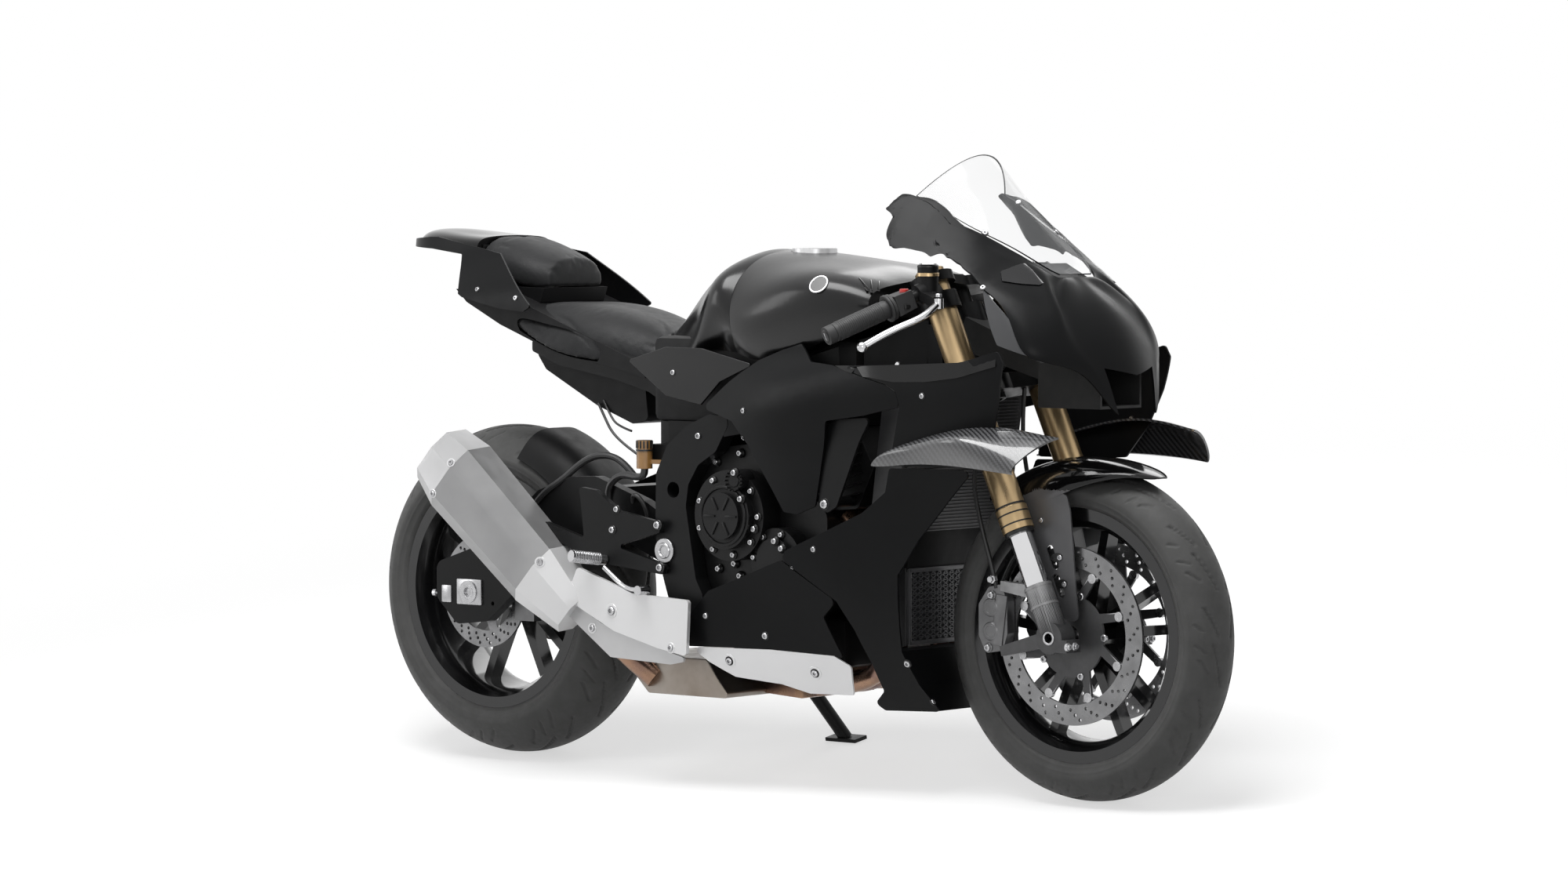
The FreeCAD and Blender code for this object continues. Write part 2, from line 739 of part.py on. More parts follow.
lever_ball_radius = 10.0
lever_boss_radius = 9.0
cup_foot = (1160.0, 162.0, 905.0)
cup_height = 53.0
cup_radius = 19.0
cup_neck_start = (1180.0, 168.0, 898.0)
cup_neck_radius = 8.0


def right_side(place):
    return Vector(place[0], -place[1], place[2])


def grip_line():
    root = right_side(bar_root)
    tip = right_side(bar_end)
    return root, tip, (tip - root).normalize()


def handlebars():
    root, tip, along = grip_line()
    inner = root - along * bar_inner_length
    fork = fork_point(-fork_half_spread, clip_height)
    half = steer_direction * clip_half_height
    ring = rod(fork - half, fork + half, fork_tube_radius + clip_wall)
    bar = rod(inner, tip - along * bar_end_inset, bar_radius)
    link = tapered_bar(fork, inner, clip_link_root, clip_link_tip, upright)
    clip = joined([ring, link, bar])
    parts["handlebars"] = both_sides(clip.cut(rod(fork - half * 3, fork + half * 3, fork_tube_radius + seat_gap)))
    grip = sleeve(root, tip - along * grip_end_inset, grip_radius, bar_radius + seat_gap)
    flange = sleeve(root - along * grip_flange_width, root, grip_radius + grip_flange_proud, bar_radius + seat_gap)
    weight = rod(tip - along * (grip_end_inset - bar_weight_gap), tip, grip_radius)
    pod = tapered_bar(root - along * switch_start, root - along * switch_end, switch_root, switch_tip, upright)
    pod = pod.cut(rod(root, root - along * switch_end * 2, bar_radius + seat_gap))
    pieces = [joined([grip, flange]), weight, pod]
    parts["grips"] = group(pieces + [mirrored(piece) for piece in pieces])


def hand_controls():
    # A perch on each bar that carries the lever, and on the right the brake's fluid cup as well.
    root, tip, along = grip_line()
    pivot = right_side(lever_pivot)
    ball = right_side(lever_ball)
    boss_half = upright * lever_boss_radius
    knees = [right_side(knee) for knee in lever_knees]
    lever = joined([tube([pivot] + knees + [ball], lever_radius), Part.makeSphere(lever_ball_radius, ball),
                    rod(pivot - boss_half, pivot + boss_half, lever_boss_radius)])
    ring = rod(root - along * perch_start, root - along * perch_end, bar_radius + perch_wall)
    middle = root - along * ((perch_start + perch_end) / 2)
    arm = tapered_bar(middle, pivot, perch_root, perch_tip, upright)
    perch = joined([ring, arm])
    room = rod(pivot - boss_half * 3, pivot + boss_half * 3, lever_boss_radius + seat_gap)
    foot = right_side(cup_foot)
    cup = rod(foot, foot + upright * cup_height, cup_radius)
    neck = rod(right_side(cup_neck_start), foot + upright * cup_radius, cup_neck_radius)
    master = joined([perch, cup, neck])
    bar_room = rod(root, root - along * bar_inner_length, bar_radius + seat_gap)
    finished = []
    for piece in (master, perch):
        cut = piece.cut(bar_room).cut(room).cut(lever)
        finished.append(largest(cut.cut(parts["handlebars"]).cut(parts["grips"])))
    lever = largest(lever.cut(parts["handlebars"]).cut(parts["grips"]))
    parts["hand_controls"] = group([lever, mirrored(lever), finished[0], mirrored(finished[1])])


front_hose_radius = 4.0
front_hose_route = [(1212.0, 52.0, 746.0), (1204.0, 56.0, 690.0), (1196.0, 66.0, 630.0), (1198.0, 80.0, 560.0),
                    (1222.0, 88.0, 490.0), (1246.0, 88.0, 420.0), (1254.0, 84.0, 380.0)]


def brake_hoses():
    right = tube([right_side(place) for place in front_hose_route], front_hose_radius)
    parts["front_hoses"] = both_sides(largest(right.cut(parts["front_calipers"]).cut(parts["triple_clamps"])))


# Frame and engine
pivot_place = (0.2866, 424.0)
swing_pivot_radius = 11.0
pivot_head_radius = 23.0
pivot_head_thickness = 5.0
frame_plate_outer = 184.0
frame_plate_thickness = 32.0
frame_plate_corner = 16.0
frame_plate_span_share = (0.2293, 0.5096)
frame_plate_heights = (265.0, 695.0)
frame_plate_shares = [
    (0.318, 0.019), (0.259, 0.133), (0.195, 0.226), (0.109, 0.36), (0.091, 0.477), (0.1, 0.702),
    (0.227, 0.828), (0.455, 0.916), (0.7, 0.967), (0.9, 0.96), (0.909, 0.919), (0.773, 0.807),
    (0.577, 0.747), (0.464, 0.66), (0.436, 0.565), (0.486, 0.423), (0.545, 0.253), (0.632, 0.179),
    (0.532, 0.077)]
frame_hole_place = (0.3121, 538.0)
frame_hole_radius = 15.0
beam_heights = (640.0, 870.0)
beam_places_share = (0.4713, 0.7134)
beam_front_setback = 330.0
beam_rear_shares = [(1.0, 0.0), (0.826, 0.0), (0.826, 0.261), (1.0, 0.217)]
beam_middle_shares = [(0.902, 0.139), (0.75, 0.139), (0.728, 0.696), (0.87, 0.661)]
beam_front_shares = [(0.337, 0.543), (0.163, 0.543), (0.141, 0.965), (0.304, 0.965)]
gusset_place = (365.0, 775.0, 70.0, 75.0)
gusset_half_width = 60.0
strut_half_width = 160.0
low_strut_span_share = (0.2611, 0.3248)
low_strut_heights = (290.0, 330.0)
top_strut_span_share = (0.2013, 0.3248)
top_strut_heights = (590.0, 620.0)


def main_frame():
    inner = frame_plate_outer - frame_plate_thickness
    plate = side_plate(bay_box(frame_plate_span_share, frame_plate_heights), frame_plate_shares,
                       -frame_plate_outer, -inner, frame_plate_corner)
    plate = plate.cut(bay_disc(frame_hole_place, -frame_plate_outer * 1.2, -inner * 0.8, frame_hole_radius))
    height = beam_heights[1] - beam_heights[0]
    places = [bay_x(share) for share in beam_places_share] + [wheelbase - beam_front_setback]
    sections = []
    for x, ring_shares in zip(places, (beam_rear_shares, beam_middle_shares, beam_front_shares)):
        ring = [Vector(x, -frame_plate_outer * out, beam_heights[0] + height * up) for out, up in ring_shares]
        sections.append(Part.makePolygon(ring + ring[:1]))
    beam = Part.makeLoft(sections, True, True)
    head = rod(axis_point(head_tube_low), axis_point(head_tube_top), head_tube_radius)
    gusset = box_block(front_box(gusset_place), -gusset_half_width, gusset_half_width)
    struts = [box_block(bay_box(low_strut_span_share, low_strut_heights), -strut_half_width, strut_half_width),
              box_block(bay_box(top_strut_span_share, top_strut_heights), -strut_half_width, strut_half_width)]
    body = joined([plate, mirrored(plate), beam, mirrored(beam), gusset, head] + struts)
    body = body.cut(rod(axis_point(head_tube_low - head_tube_radius * 2),
                        axis_point(head_tube_top + head_tube_radius * 2), stem_radius + running_gap))
    body = body.cut(bay_disc(pivot_place, -frame_plate_outer * 1.2, frame_plate_outer * 1.2, swing_pivot_radius))
    parts["main_frame"] = body


swing_shares = [
    (-0.164, 0.006), (-0.085, -0.101), (0.063, -0.113), (0.257, -0.007), (0.496, 0.061),
    (0.725, 0.086), (0.903, -0.027), (1.025, -0.04), (1.061, 0.021), (1.009, 0.077), (0.869, 0.188),
    (0.667, 0.302), (0.545, 0.32), (0.391, 0.298), (0.225, 0.216), (0.038, 0.149), (-0.141, 0.126)]
swing_arm_inner = 119.0
swing_arm_outer = 143.0
swing_corner_radius = 20.0
swing_boss_radius = 32.0
swing_bridge_clearance = 12.0
swing_bridge_length = 56.0
swing_bridge_heights = (455.0, 535.0)
chain_room_half_width = 14.0
chain_room_back = 145.0
chain_room_heights = (330.0, 500.0)
stand_hole_place = (60.0, 300.0)
stand_hole_radius = 4.0
stand_hole_depth = 20.0


def swingarm():
    pivot_x = bay_x(pivot_place[0])
    pivot_z = pivot_place[1]
    pivot = Vector(pivot_x, 0, pivot_z)
    arm = span_plate(rear_axle_place, pivot, swing_shares, -swing_arm_outer, -swing_arm_inner, swing_corner_radius)
    boss = cross_rod(pivot_x, pivot_z, -swing_arm_outer, swing_arm_outer, swing_boss_radius)
    bridge_start = rear_wheel_radius + swing_bridge_clearance
    half = swing_arm_inner + overrun
    bridge = block(bridge_start, bridge_start + swing_bridge_length, -half, half, swing_bridge_heights[0],
                   swing_bridge_heights[1])
    body = joined([arm, mirrored(arm), boss, bridge])
    reach = swing_arm_outer * 1.2
    body = body.cut(cross_rod(pivot_x, pivot_z, -reach, reach, swing_pivot_radius))
    body = body.cut(cross_rod(0.0, rear_wheel_radius, -reach, reach, rear_axle_radius + seat_gap))
    body = body.cut(block(pivot_x - chain_room_back, pivot_x + chain_room_back, chain_line - chain_room_half_width,
                          chain_line + chain_room_half_width, chain_room_heights[0], chain_room_heights[1]))
    for sign in (-1, 1):
        body = body.cut(cross_rod(stand_hole_place[0], stand_hole_place[1], sign * reach,
                                  sign * (swing_arm_outer - stand_hole_depth), stand_hole_radius))
    parts["swingarm"] = body
    bolt = [cross_rod(pivot_x, pivot_z, -frame_plate_outer, frame_plate_outer, swing_pivot_radius - running_gap)]
    axle = [rod(rear_axle_place - side * rear_axle_half_length, rear_axle_place + side * rear_axle_half_length,
                rear_axle_radius)]
    for sign in (-1, 1):
        bolt.append(cross_rod(pivot_x, pivot_z, sign * frame_plate_outer,
                              sign * (frame_plate_outer + pivot_head_thickness), pivot_head_radius))
        axle.append(cross_rod(0.0, rear_wheel_radius, sign * swing_arm_outer,
                              sign * (swing_arm_outer + axle_nut_thickness), axle_nut_radius))
        axle.append(cross_rod(0.0, rear_wheel_radius, sign * axle_spacer_start, sign * swing_arm_inner,
                              axle_spacer_radius))
    parts["swingarm_pivot"] = joined(bolt)
    parts["rear_axle"] = joined(axle).cut(cross_rod(0.0, rear_wheel_radius, -reach * 2, reach * 2, rear_axle_bore))


case_span_share = (0.3439, 0.7516)
case_heights = (300.0, 630.0)
case_shares = [
    (0.0, 0.2), (0.15, 0.0), (0.8, 0.0), (1.0, 0.2), (1.0, 0.621), (0.85, 0.752), (0.5, 1.0),
    (0.1, 0.952), (0.0, 0.7)]
case_half_width = 148.0
case_corner_radius = 30.0
head_span_share = (0.5605, 0.879)
head_heights = (500.0, 700.0)
head_shares = [
    (0.144, 0.0), (0.824, 0.07), (0.976, 0.45), (0.72, 1.0), (0.336, 0.95), (0.0, 0.5)]
head_half_width = 128.0
head_corner_radius = 12.0
sprocket_room_radius = 62.0
sprocket_room_back_share = 0.3057
sprocket_room_outer = 160.0
clutch_place = (0.5006, 496.0)
clutch_steps = ((148.3, 196.0, 84.0), (196.0, 212.0, 62.0), (212.0, 220.0, 43.0))
filler_place = (0.5401, 562.0)
filler_step = (180.0, 216.0, 19.0)
pump_place = (0.6318, 416.0)
pump_steps = ((148.3, 184.0, 60.0), (184.0, 190.0, 42.0))
left_cover_place = (0.6115, 440.0)
left_cover_steps = ((148.3, 178.0, 76.0), (178.0, 186.0, 52.0))


def cover_of(place, steps, sign):
    return [bay_disc(place, sign * start, sign * end, radius) for start, end, radius in steps]


def engine():
    case = side_plate(bay_box(case_span_share, case_heights), case_shares, -case_half_width, case_half_width,
                      case_corner_radius)
    head = side_plate(bay_box(head_span_share, head_heights), head_shares, -head_half_width, head_half_width,
                      head_corner_radius)
    body = joined([case, head])
    inner = chain_line - front_sprocket_depth
    low = front_sprocket_place[1] - sprocket_room_radius
    high = front_sprocket_place[1] + sprocket_room_radius
    body = body.cut(bay_disc(front_sprocket_place, inner, sprocket_room_outer, sprocket_room_radius))
    body = body.cut(block(bay_x(sprocket_room_back_share), bay_x(front_sprocket_place[0]), inner,
                          sprocket_room_outer, low, high))
    parts["engine_block"] = largest(body.cut(parts["main_frame"]))
    right = cover_of(clutch_place, clutch_steps, -1) + cover_of(filler_place, [filler_step], -1)
    right += cover_of(pump_place, pump_steps, -1)
    parts["engine_covers"] = group([joined(right), joined(cover_of(left_cover_place, left_cover_steps, 1))])


radiator_span_share = (0.8943, 1.0191)
radiator_heights = (470.0, 720.0)
radiator_shares = [
    (0.0, 0.0), (0.622, 0.0), (1.0, 1.0), (0.357, 1.0)]
radiator_half_width = 165.0
radiator_lug_span_share = (0.9248, 0.9427)
radiator_lug_heights = (710.0, 775.0)
radiator_lug_width = (48.0, 64.0)
cooler_span_share = (0.9121, 0.958)
cooler_heights = (268.0, 410.0)
cooler_half_width = 120.0
cooler_stay_span_share = (0.9121, 0.9427)
cooler_stay_heights = (400.0, 480.0)
cooler_stay_width = (100.0, 116.0)


def cooling():
    pieces = [side_plate(bay_box(radiator_span_share, radiator_heights), radiator_shares, -radiator_half_width,
                         radiator_half_width)]
    lug = box_block(bay_box(radiator_lug_span_share, radiator_lug_heights), -radiator_lug_width[1],
                    -radiator_lug_width[0])
    lug = lug.cut(parts["main_frame"]).cut(moved(parts["main_frame"], z=-seat_gap))
    stay = box_block(bay_box(cooler_stay_span_share, cooler_stay_heights), -cooler_stay_width[1],
                     -cooler_stay_width[0])
    pieces += [largest(lug), mirrored(largest(lug)), stay, mirrored(stay)]
    pieces.append(box_block(bay_box(cooler_span_share, cooler_heights), -cooler_half_width, cooler_half_width))
    parts["radiators"] = joined(pieces)


shock_low_place = (0.1401, 0.0, 345.0)
shock_top_place = (0.2293, 0.0, 584.0)
shock_rod_radius = 18.0
shock_coil_radius = 34.0
shock_coil_low = 60.0
shock_coil_top = 40.0
rocker_place = (0.2605, 0.0, 312.0)
rocker_root = (40.0, 26.0)
rocker_tip = (60.0, 30.0)


def shock():
    start = bay_point(shock_low_place)
    end = bay_point(shock_top_place)
    line = (end - start).normalize()
    body = rod(start, end, shock_rod_radius)
    coil = rod(start + line * shock_coil_low, end - line * shock_coil_top, shock_coil_radius)
    rocker = tapered_bar(start, bay_point(rocker_place), rocker_root, rocker_tip, side)
    parts["shock_absorber"] = largest(joined([body, coil, rocker]).cut(parts["main_frame"]))


# Exhaust
box_span_share = (0.1019, 0.4586)
box_heights = (150.0, 225.0)
box_shares = [
    (0.018, 0.867), (0.036, 0.733), (0.236, 0.013), (0.971, 0.013), (0.857, 0.48), (0.761, 0.96),
    (0.071, 0.96)]
box_sides = (-146.0, 120.0)
box_corner_radius = 8.0
header_radius = 18.0
header_lines = (-100.0, -62.0, 62.0, 100.0)
header_route_shares = [(0.7643, 1.0), (0.8357, 1.0), (0.8688, 0.99), (0.8739, 0.97), (0.7771, 0.8), (0.6369, 0.62)]
header_heights = (500.0, 450.0, 340.0, 225.0, 190.0, 184.0)
collector_steps = [(0.6471, 184.0, 166.0, 46.0), (0.5605, 180.0, 90.0, 60.0), (0.4586, 176.0, 70.0, 46.0),
                   (0.3694, 178.0, 64.0, 40.0)]
link_start = (0.2038, -140.0, 180.0)
link_bend = (0.1338, -168.0, 232.0)
link_run = (335.0, 188.0, 315.0)
link_end = (255.0, 202.0, 376.0)
link_radius = 22.0


def exhaust():
    box_body = side_plate(bay_box(box_span_share, box_heights), box_shares, box_sides[0], box_sides[1],
                          box_corner_radius)
    parts["exhaust_box"] = box_body
    pipes = []
    for y in header_lines:
        route = [Vector(bay_x(share), y * out, height)
                 for (share, out), height in zip(header_route_shares, header_heights)]
        pipes.append(tube(route, header_radius).cut(parts["engine_block"]))
    sections = [rectangle(Vector(bay_x(share), 0, z), side, upright, width, height)
                for share, z, width, height in collector_steps]
    headers = joined(pipes + [Part.makeLoft(sections, True, True)])
    headers = largest(headers.cut(box_body).cut(moved(box_body, x=seat_gap)))
    link = tube([bay_point(link_start), bay_point(link_bend), right_side(link_run), right_side(link_end)],
                link_radius)
    return headers, largest(link.cut(box_body))


silencer_front = (250.0, 205.0, 372.0)
silencer_rear = (62.0, 232.0, 550.0)
silencer_shares = [(0.3, 0.5), (0.5, 0.18), (0.5, -0.22), (0.28, -0.5), (-0.32, -0.5), (-0.5, -0.2), (-0.5, 0.26),
                   (-0.26, 0.5)]
can_front_size = (104.0, 138.0)
can_rear_size = (112.0, 150.0)
cap_rear_size = (96.0, 122.0)
cap_length = 62.0
sleeve_rear_size = (106.0, 140.0)
sleeve_front_size = (78.0, 92.0)
sleeve_length = 110.0
outlet_radius = 30.0
outlet_depth = 42.0


def silencer(headers, link):
    # A many-sided can that rises to the rear along the right of the wheel, with a cap and a bright front sleeve.
    front = right_side(silencer_front)
    rear = right_side(silencer_rear)
    along = (rear - front).normalize()
    across = along.cross(side).normalize()
    outward = across.cross(along).normalize()

    def section(place, size):
        points = [place + outward * (size[0] * a) + across * (size[1] * b) for a, b in silencer_shares]
        return Part.makePolygon(points + points[:1])

    can = Part.makeLoft([section(front, can_front_size), section(rear, can_rear_size)], True, True)
    cap_end = rear + along * cap_length
    cap = Part.makeLoft([section(rear + along * seat_gap, can_rear_size), section(cap_end, cap_rear_size)],
                        True, True)
    outlet = rod(cap_end - along * outlet_depth, cap_end + along * outlet_depth, outlet_radius)
    parts["silencer"] = group([can, cap.cut(outlet)])
    link = largest(link.cut(can))
    parts["exhaust_pipes"] = group([headers, link])
    sleeve_piece = Part.makeLoft([section(front - along * seat_gap, sleeve_rear_size),
                                  section(front - along * sleeve_length, sleeve_front_size)], True, True)
    return sleeve_piece.cut(link)


shield_upper_span_share = (0.0064, 0.4013)
shield_upper_heights = (225.0, 390.0)
shield_upper_shares = [
    (0.0, 0.618), (0.1, 0.982), (0.548, 0.721), (1.0, 0.679), (0.981, 0.048), (0.748, 0.121),
    (0.4, 0.279)]
shield_upper_sides = (-222.0, -214.0)
shield_lower_span_share = (-0.0446, 0.4013)
shield_lower_heights = (215.0, 340.0)
shield_lower_shares = [
    (0.0, 0.848), (0.049, 0.976), (0.349, 0.552), (0.7, 0.28), (1.0, 0.08), (0.849, 0.0),
    (0.42, 0.048)]
shield_lower_sides = (-213.7, -208.0)
shield_corner_radius = 7.0


def heat_shields(sleeve_piece):
    upper = side_plate(bay_box(shield_upper_span_share, shield_upper_heights), shield_upper_shares,
                       shield_upper_sides[0], shield_upper_sides[1], shield_corner_radius)
    lower = side_plate(bay_box(shield_lower_span_share, shield_lower_heights), shield_lower_shares,
                       shield_lower_sides[0], shield_lower_sides[1], shield_corner_radius)
    upper = largest(upper.cut(sleeve_piece).cut(parts["exhaust_pipes"]))
    lower = largest(lower.cut(sleeve_piece).cut(parts["exhaust_pipes"]))
    parts["heat_shields"] = group([sleeve_piece, upper, lower])


# Tank and seat
tank_span_share = (0.1529, 0.9172)
tank_heights = (780.0, 990.0)
tank_half_width = 200.0
tank_rows_shares = [
    (0.0, [(0.0, 0.248), (0.15, 0.229), (0.25, 0.152), (0.27, 0.048)]),
    (0.067, [(0.0, 0.362), (0.225, 0.333), (0.4, 0.21), (0.46, 0.052)]),
    (0.137, [(0.0, 0.629), (0.21, 0.581), (0.43, 0.352), (0.57, 0.057)]),
    (0.2, [(0.0, 0.767), (0.26, 0.71), (0.52, 0.438), (0.68, 0.076)]),
    (0.283, [(0.0, 0.867), (0.33, 0.814), (0.65, 0.629), (0.74, 0.095)]),
    (0.433, [(0.0, 0.957), (0.4, 0.914), (0.75, 0.719), (0.78, 0.071)])]
cover_rows_shares = [
    (0.433, [(0.0, 0.957), (0.4, 0.914), (0.75, 0.719), (0.78, 0.071)]),
    (0.602, [(0.0, 0.938), (0.45, 0.895), (0.85, 0.748), (0.84, 0.019)]),
    (0.75, [(0.0, 0.89), (0.475, 0.857), (0.915, 0.767), (0.89, 0.124)]),
    (0.867, [(0.0, 0.838), (0.49, 0.805), (0.95, 0.714), (0.91, 0.248)]),
    (0.987, [(0.0, 0.724), (0.44, 0.686), (0.88, 0.533), (0.83, 0.39)])]
cap_place = (0.5554, 0.0, 977.0)
cap_radius = 42.0
cap_height = 9.0
cap_room = 2.0


def tank():
    x_start, z_start, length, height = bay_box(tank_span_share, tank_heights)
    parts["fuel_tank"] = arch_loft((x_start, z_start, length, tank_half_width, height), tank_rows_shares)
    cover = arch_loft((x_start + seam_gap, z_start, length, tank_half_width, height), cover_rows_shares)
    foot = bay_point(cap_place)
    parts["tank_cover"] = cover.cut(rod(foot, foot + upright * outside_reach, cap_radius + cap_room))
    parts["fuel_cap"] = rod(foot + upright * seat_gap, foot + upright * cap_height, cap_radius)


seat_rear = 62.0
seat_overlap = 22.0
seat_heights = (750.0, 890.0)
seat_half_width = 160.0
seat_rows_shares = [
    (0.0, [(0.0, 0.907), (0.438, 0.871), (0.738, 0.736), (0.775, 0.6)]),
    (0.195, [(0.0, 0.914), (0.5, 0.886), (0.838, 0.736), (0.863, 0.514)]),
    (0.32, [(0.0, 0.9), (0.55, 0.879), (0.875, 0.614), (0.912, 0.357)]),
    (0.64, [(0.0, 0.836), (0.512, 0.8), (0.825, 0.5), (0.863, 0.157)]),
    (0.87, [(0.0, 0.643), (0.412, 0.614), (0.662, 0.4), (0.713, 0.107)]),
    (1.0, [(0.0, 0.5), (0.3, 0.479), (0.512, 0.336), (0.55, 0.157)])]
hump_length = 172.0
hump_heights = (905.0, 1010.0)
hump_half_width = 100.0
hump_rows_shares = [
    (0.0, [(0.0, 0.981), (0.5, 0.962), (0.88, 0.752), (0.92, 0.381)]),
    (0.419, [(0.0, 0.857), (0.52, 0.838), (0.9, 0.6), (0.94, 0.143)]),
    (0.767, [(0.0, 0.676), (0.5, 0.638), (0.82, 0.448), (0.86, 0.029)]),
    (0.953, [(0.0, 0.581), (0.44, 0.524), (0.7, 0.314), (0.72, 0.048)])]
tail_rear = -232.0
tail_length = 222.0
tail_heights = (960.0, 1020.0)
tail_half_width = 110.0
tail_rows_shares = [
    (0.0, [(0.0, 0.833), (0.164, 0.8), (0.309, 0.65), (0.327, 0.4)]),
    (0.144, [(0.0, 0.983), (0.273, 0.95), (0.527, 0.75), (0.545, 0.4)]),
    (0.55, [(0.0, 0.933), (0.473, 0.9), (0.873, 0.7), (0.9, 0.333)]),
    (0.991, [(0.0, 0.8), (0.545, 0.767), (0.936, 0.533), (0.964, 0.2)])]


def seats():
    length = bay_x(tank_span_share[0]) + seat_overlap - seat_rear
    seat = arch_loft((seat_rear, seat_heights[0], length, seat_half_width, seat_heights[1] - seat_heights[0]),
                     seat_rows_shares)
    parts["rider_seat"] = largest(seat.cut(moved(parts["fuel_tank"], x=-seam_gap)).cut(parts["fuel_tank"]))
    top = arch_loft((tail_rear, tail_heights[0], tail_length, tail_half_width, tail_heights[1] - tail_heights[0]),
                    tail_rows_shares)
    parts["tail_top"] = top
    hump_rear = top.BoundBox.XMax + seam_gap
    parts["seat_hump"] = arch_loft((hump_rear, hump_heights[0], hump_length, hump_half_width,
                                    hump_heights[1] - hump_heights[0]), hump_rows_shares)


# Tail
tail_skin_box = (-240.0, 860.0, 440.0, 180.0, 150.0)
tail_skin_shares = [
    [(0.0, 0.289, 0.0), (0.0, 0.278, 0.233), (0.0, 0.261, 0.467), (0.0, 0.233, 0.7), (0.0, 0.2, 0.967)],
    [(0.25, 0.767, 0.0), (0.25, 0.722, 0.233), (0.25, 0.667, 0.467), (0.25, 0.617, 0.7),
     (0.25, 0.572, 0.967)],
    [(0.5, 0.922, 0.0), (0.5, 0.878, 0.233), (0.5, 0.789, 0.467), (0.5, 0.689, 0.7),
     (0.5, 0.611, 0.967)],
    [(0.75, 0.95, 0.0), (0.75, 0.922, 0.233), (0.75, 0.833, 0.467), (0.75, 0.722, 0.7),
     (0.75, 0.628, 0.967)],
    [(1.0, 0.972, 0.0), (1.0, 0.95, 0.233), (1.0, 0.867, 0.467), (1.0, 0.756, 0.7), (1.0, 0.656, 0.967)]]
tail_panel_box = (-240.0, 860.0, 440.0, 150.0)
tail_panel_shares = [
    (0.041, 0.94), (0.268, 0.973), (0.695, 0.76), (0.823, 0.467), (0.982, 0.093), (0.936, 0.027),
    (0.795, 0.06), (0.545, 0.2), (0.514, 0.24), (0.455, 0.747), (0.25, 0.813), (0.05, 0.84)]
tail_panel_corner = 4.0
panel_thickness = 4.0
tail_base_box = (-60.0, 740.0, 520.0, 250.0)
base_tray_shares = [
    (0.038, 0.66), (0.231, 0.66), (0.354, 0.576), (0.962, 0.12), (0.985, 0.008), (0.815, 0.088),
    (0.538, 0.184), (0.262, 0.392), (0.092, 0.56)]
base_tray_half_width = 136.0
base_riser_shares = [
    (0.0, 1.0), (0.1, 1.0), (0.1, 0.688), (0.404, 0.672), (0.385, 0.56), (0.077, 0.56), (0.0, 0.88)]
base_riser_half_width = 90.0
tail_boss_place = (24.0, 915.0)
tail_boss_radius = 8.0
undertray_box = (90.0, 640.0, 330.0, 165.0)
undertray_shares = [
    (0.1, 0.939), (0.2, 0.679), (0.6, 0.279), (0.879, 0.079), (1.0, 0.121), (0.979, 0.503),
    (0.661, 0.8), (0.3, 0.939)]
undertray_half_width = 92.0
undertray_corner = 12.0
subframe_span_share = (-0.2293, 0.3312)
subframe_heights = (600.0, 800.0)
subframe_shares = [
    (0.818, 0.101), (0.973, 0.101), (0.977, 0.5), (0.92, 0.72), (0.705, 0.72), (0.509, 0.81),
    (0.182, 0.93), (0.023, 1.06), (0.023, 0.94), (0.182, 0.81), (0.509, 0.69), (0.705, 0.58),
    (0.818, 0.45)]
subframe_sides = (-124.0, -104.0)
subframe_corner = 6.0
side_cover_span_share = (0.1529, 0.5605)
side_cover_heights = (695.0, 805.0)
side_cover_shares = [
    (0.0, 0.745), (0.3, 0.982), (0.581, 0.973), (0.981, 0.718), (0.719, 0.418), (0.569, 0.018),
    (0.3, 0.155)]
side_cover_sides = (-172.0, -166.0)
side_cover_boss_place = (0.2828, 726.0)
side_cover_boss_radius = 7.0


def outside_of(sheet, depth):
    # All that lies more than the depth outside of a right-hand sheet's far face, and its mirror image.
    return moved(sheet, y=depth).extrude(Vector(0, -outside_reach, 0))


def tail():
    seat, hump, top = parts["rider_seat"], parts["seat_hump"], parts["tail_top"]
    sheet = sheet_face(grid_points(tail_skin_box, tail_skin_shares))
    panel = sheet.extrude(Vector(0, panel_thickness, 0))
    panel = panel.common(side_plate(tail_panel_box, tail_panel_shares, -outside_reach, 0.0, tail_panel_corner))
    panel = largest(panel.cut(top))
    parts["tail_panels"] = both_sides(panel)
    tray = side_plate(tail_base_box, base_tray_shares, -base_tray_half_width, base_tray_half_width)
    riser = side_plate(tail_base_box, base_riser_shares, -base_riser_half_width, base_riser_half_width)
    boss = cross_rod(tail_boss_place[0], tail_boss_place[1], -base_riser_half_width * 0.9, -outside_reach,
                     tail_boss_radius)
    boss = largest(boss.cut(outside_of(sheet, panel_thickness)))
    base = joined([tray, riser, boss, mirrored(boss)])
    for piece in (seat, hump, top):
        base = base.cut(piece).cut(moved(piece, z=-seat_gap))
    parts["tail_base"] = largest(base)
    under = side_plate(undertray_box, undertray_shares, -undertray_half_width, undertray_half_width,
                       undertray_corner)
    parts["undertray"] = largest(under.cut(parts["tail_base"]).cut(moved(parts["tail_base"], z=-seat_gap)))
    rail = side_plate(bay_box(subframe_span_share, subframe_heights), subframe_shares, subframe_sides[0],
                      subframe_sides[1], subframe_corner)
    rail = rail.cut(parts["tail_base"]).cut(moved(parts["tail_base"], z=-seat_gap)).cut(parts["main_frame"])
    parts["subframe"] = both_sides(largest(rail))
    cover = side_plate(bay_box(side_cover_span_share, side_cover_heights), side_cover_shares, side_cover_sides[0],
                       side_cover_sides[1], panel_thickness)
    boss = bay_disc(side_cover_boss_place, side_cover_sides[1] - seam_gap, subframe_sides[0] - seat_gap,
                    side_cover_boss_radius)
    parts["side_covers"] = both_sides(joined([cover, boss]))


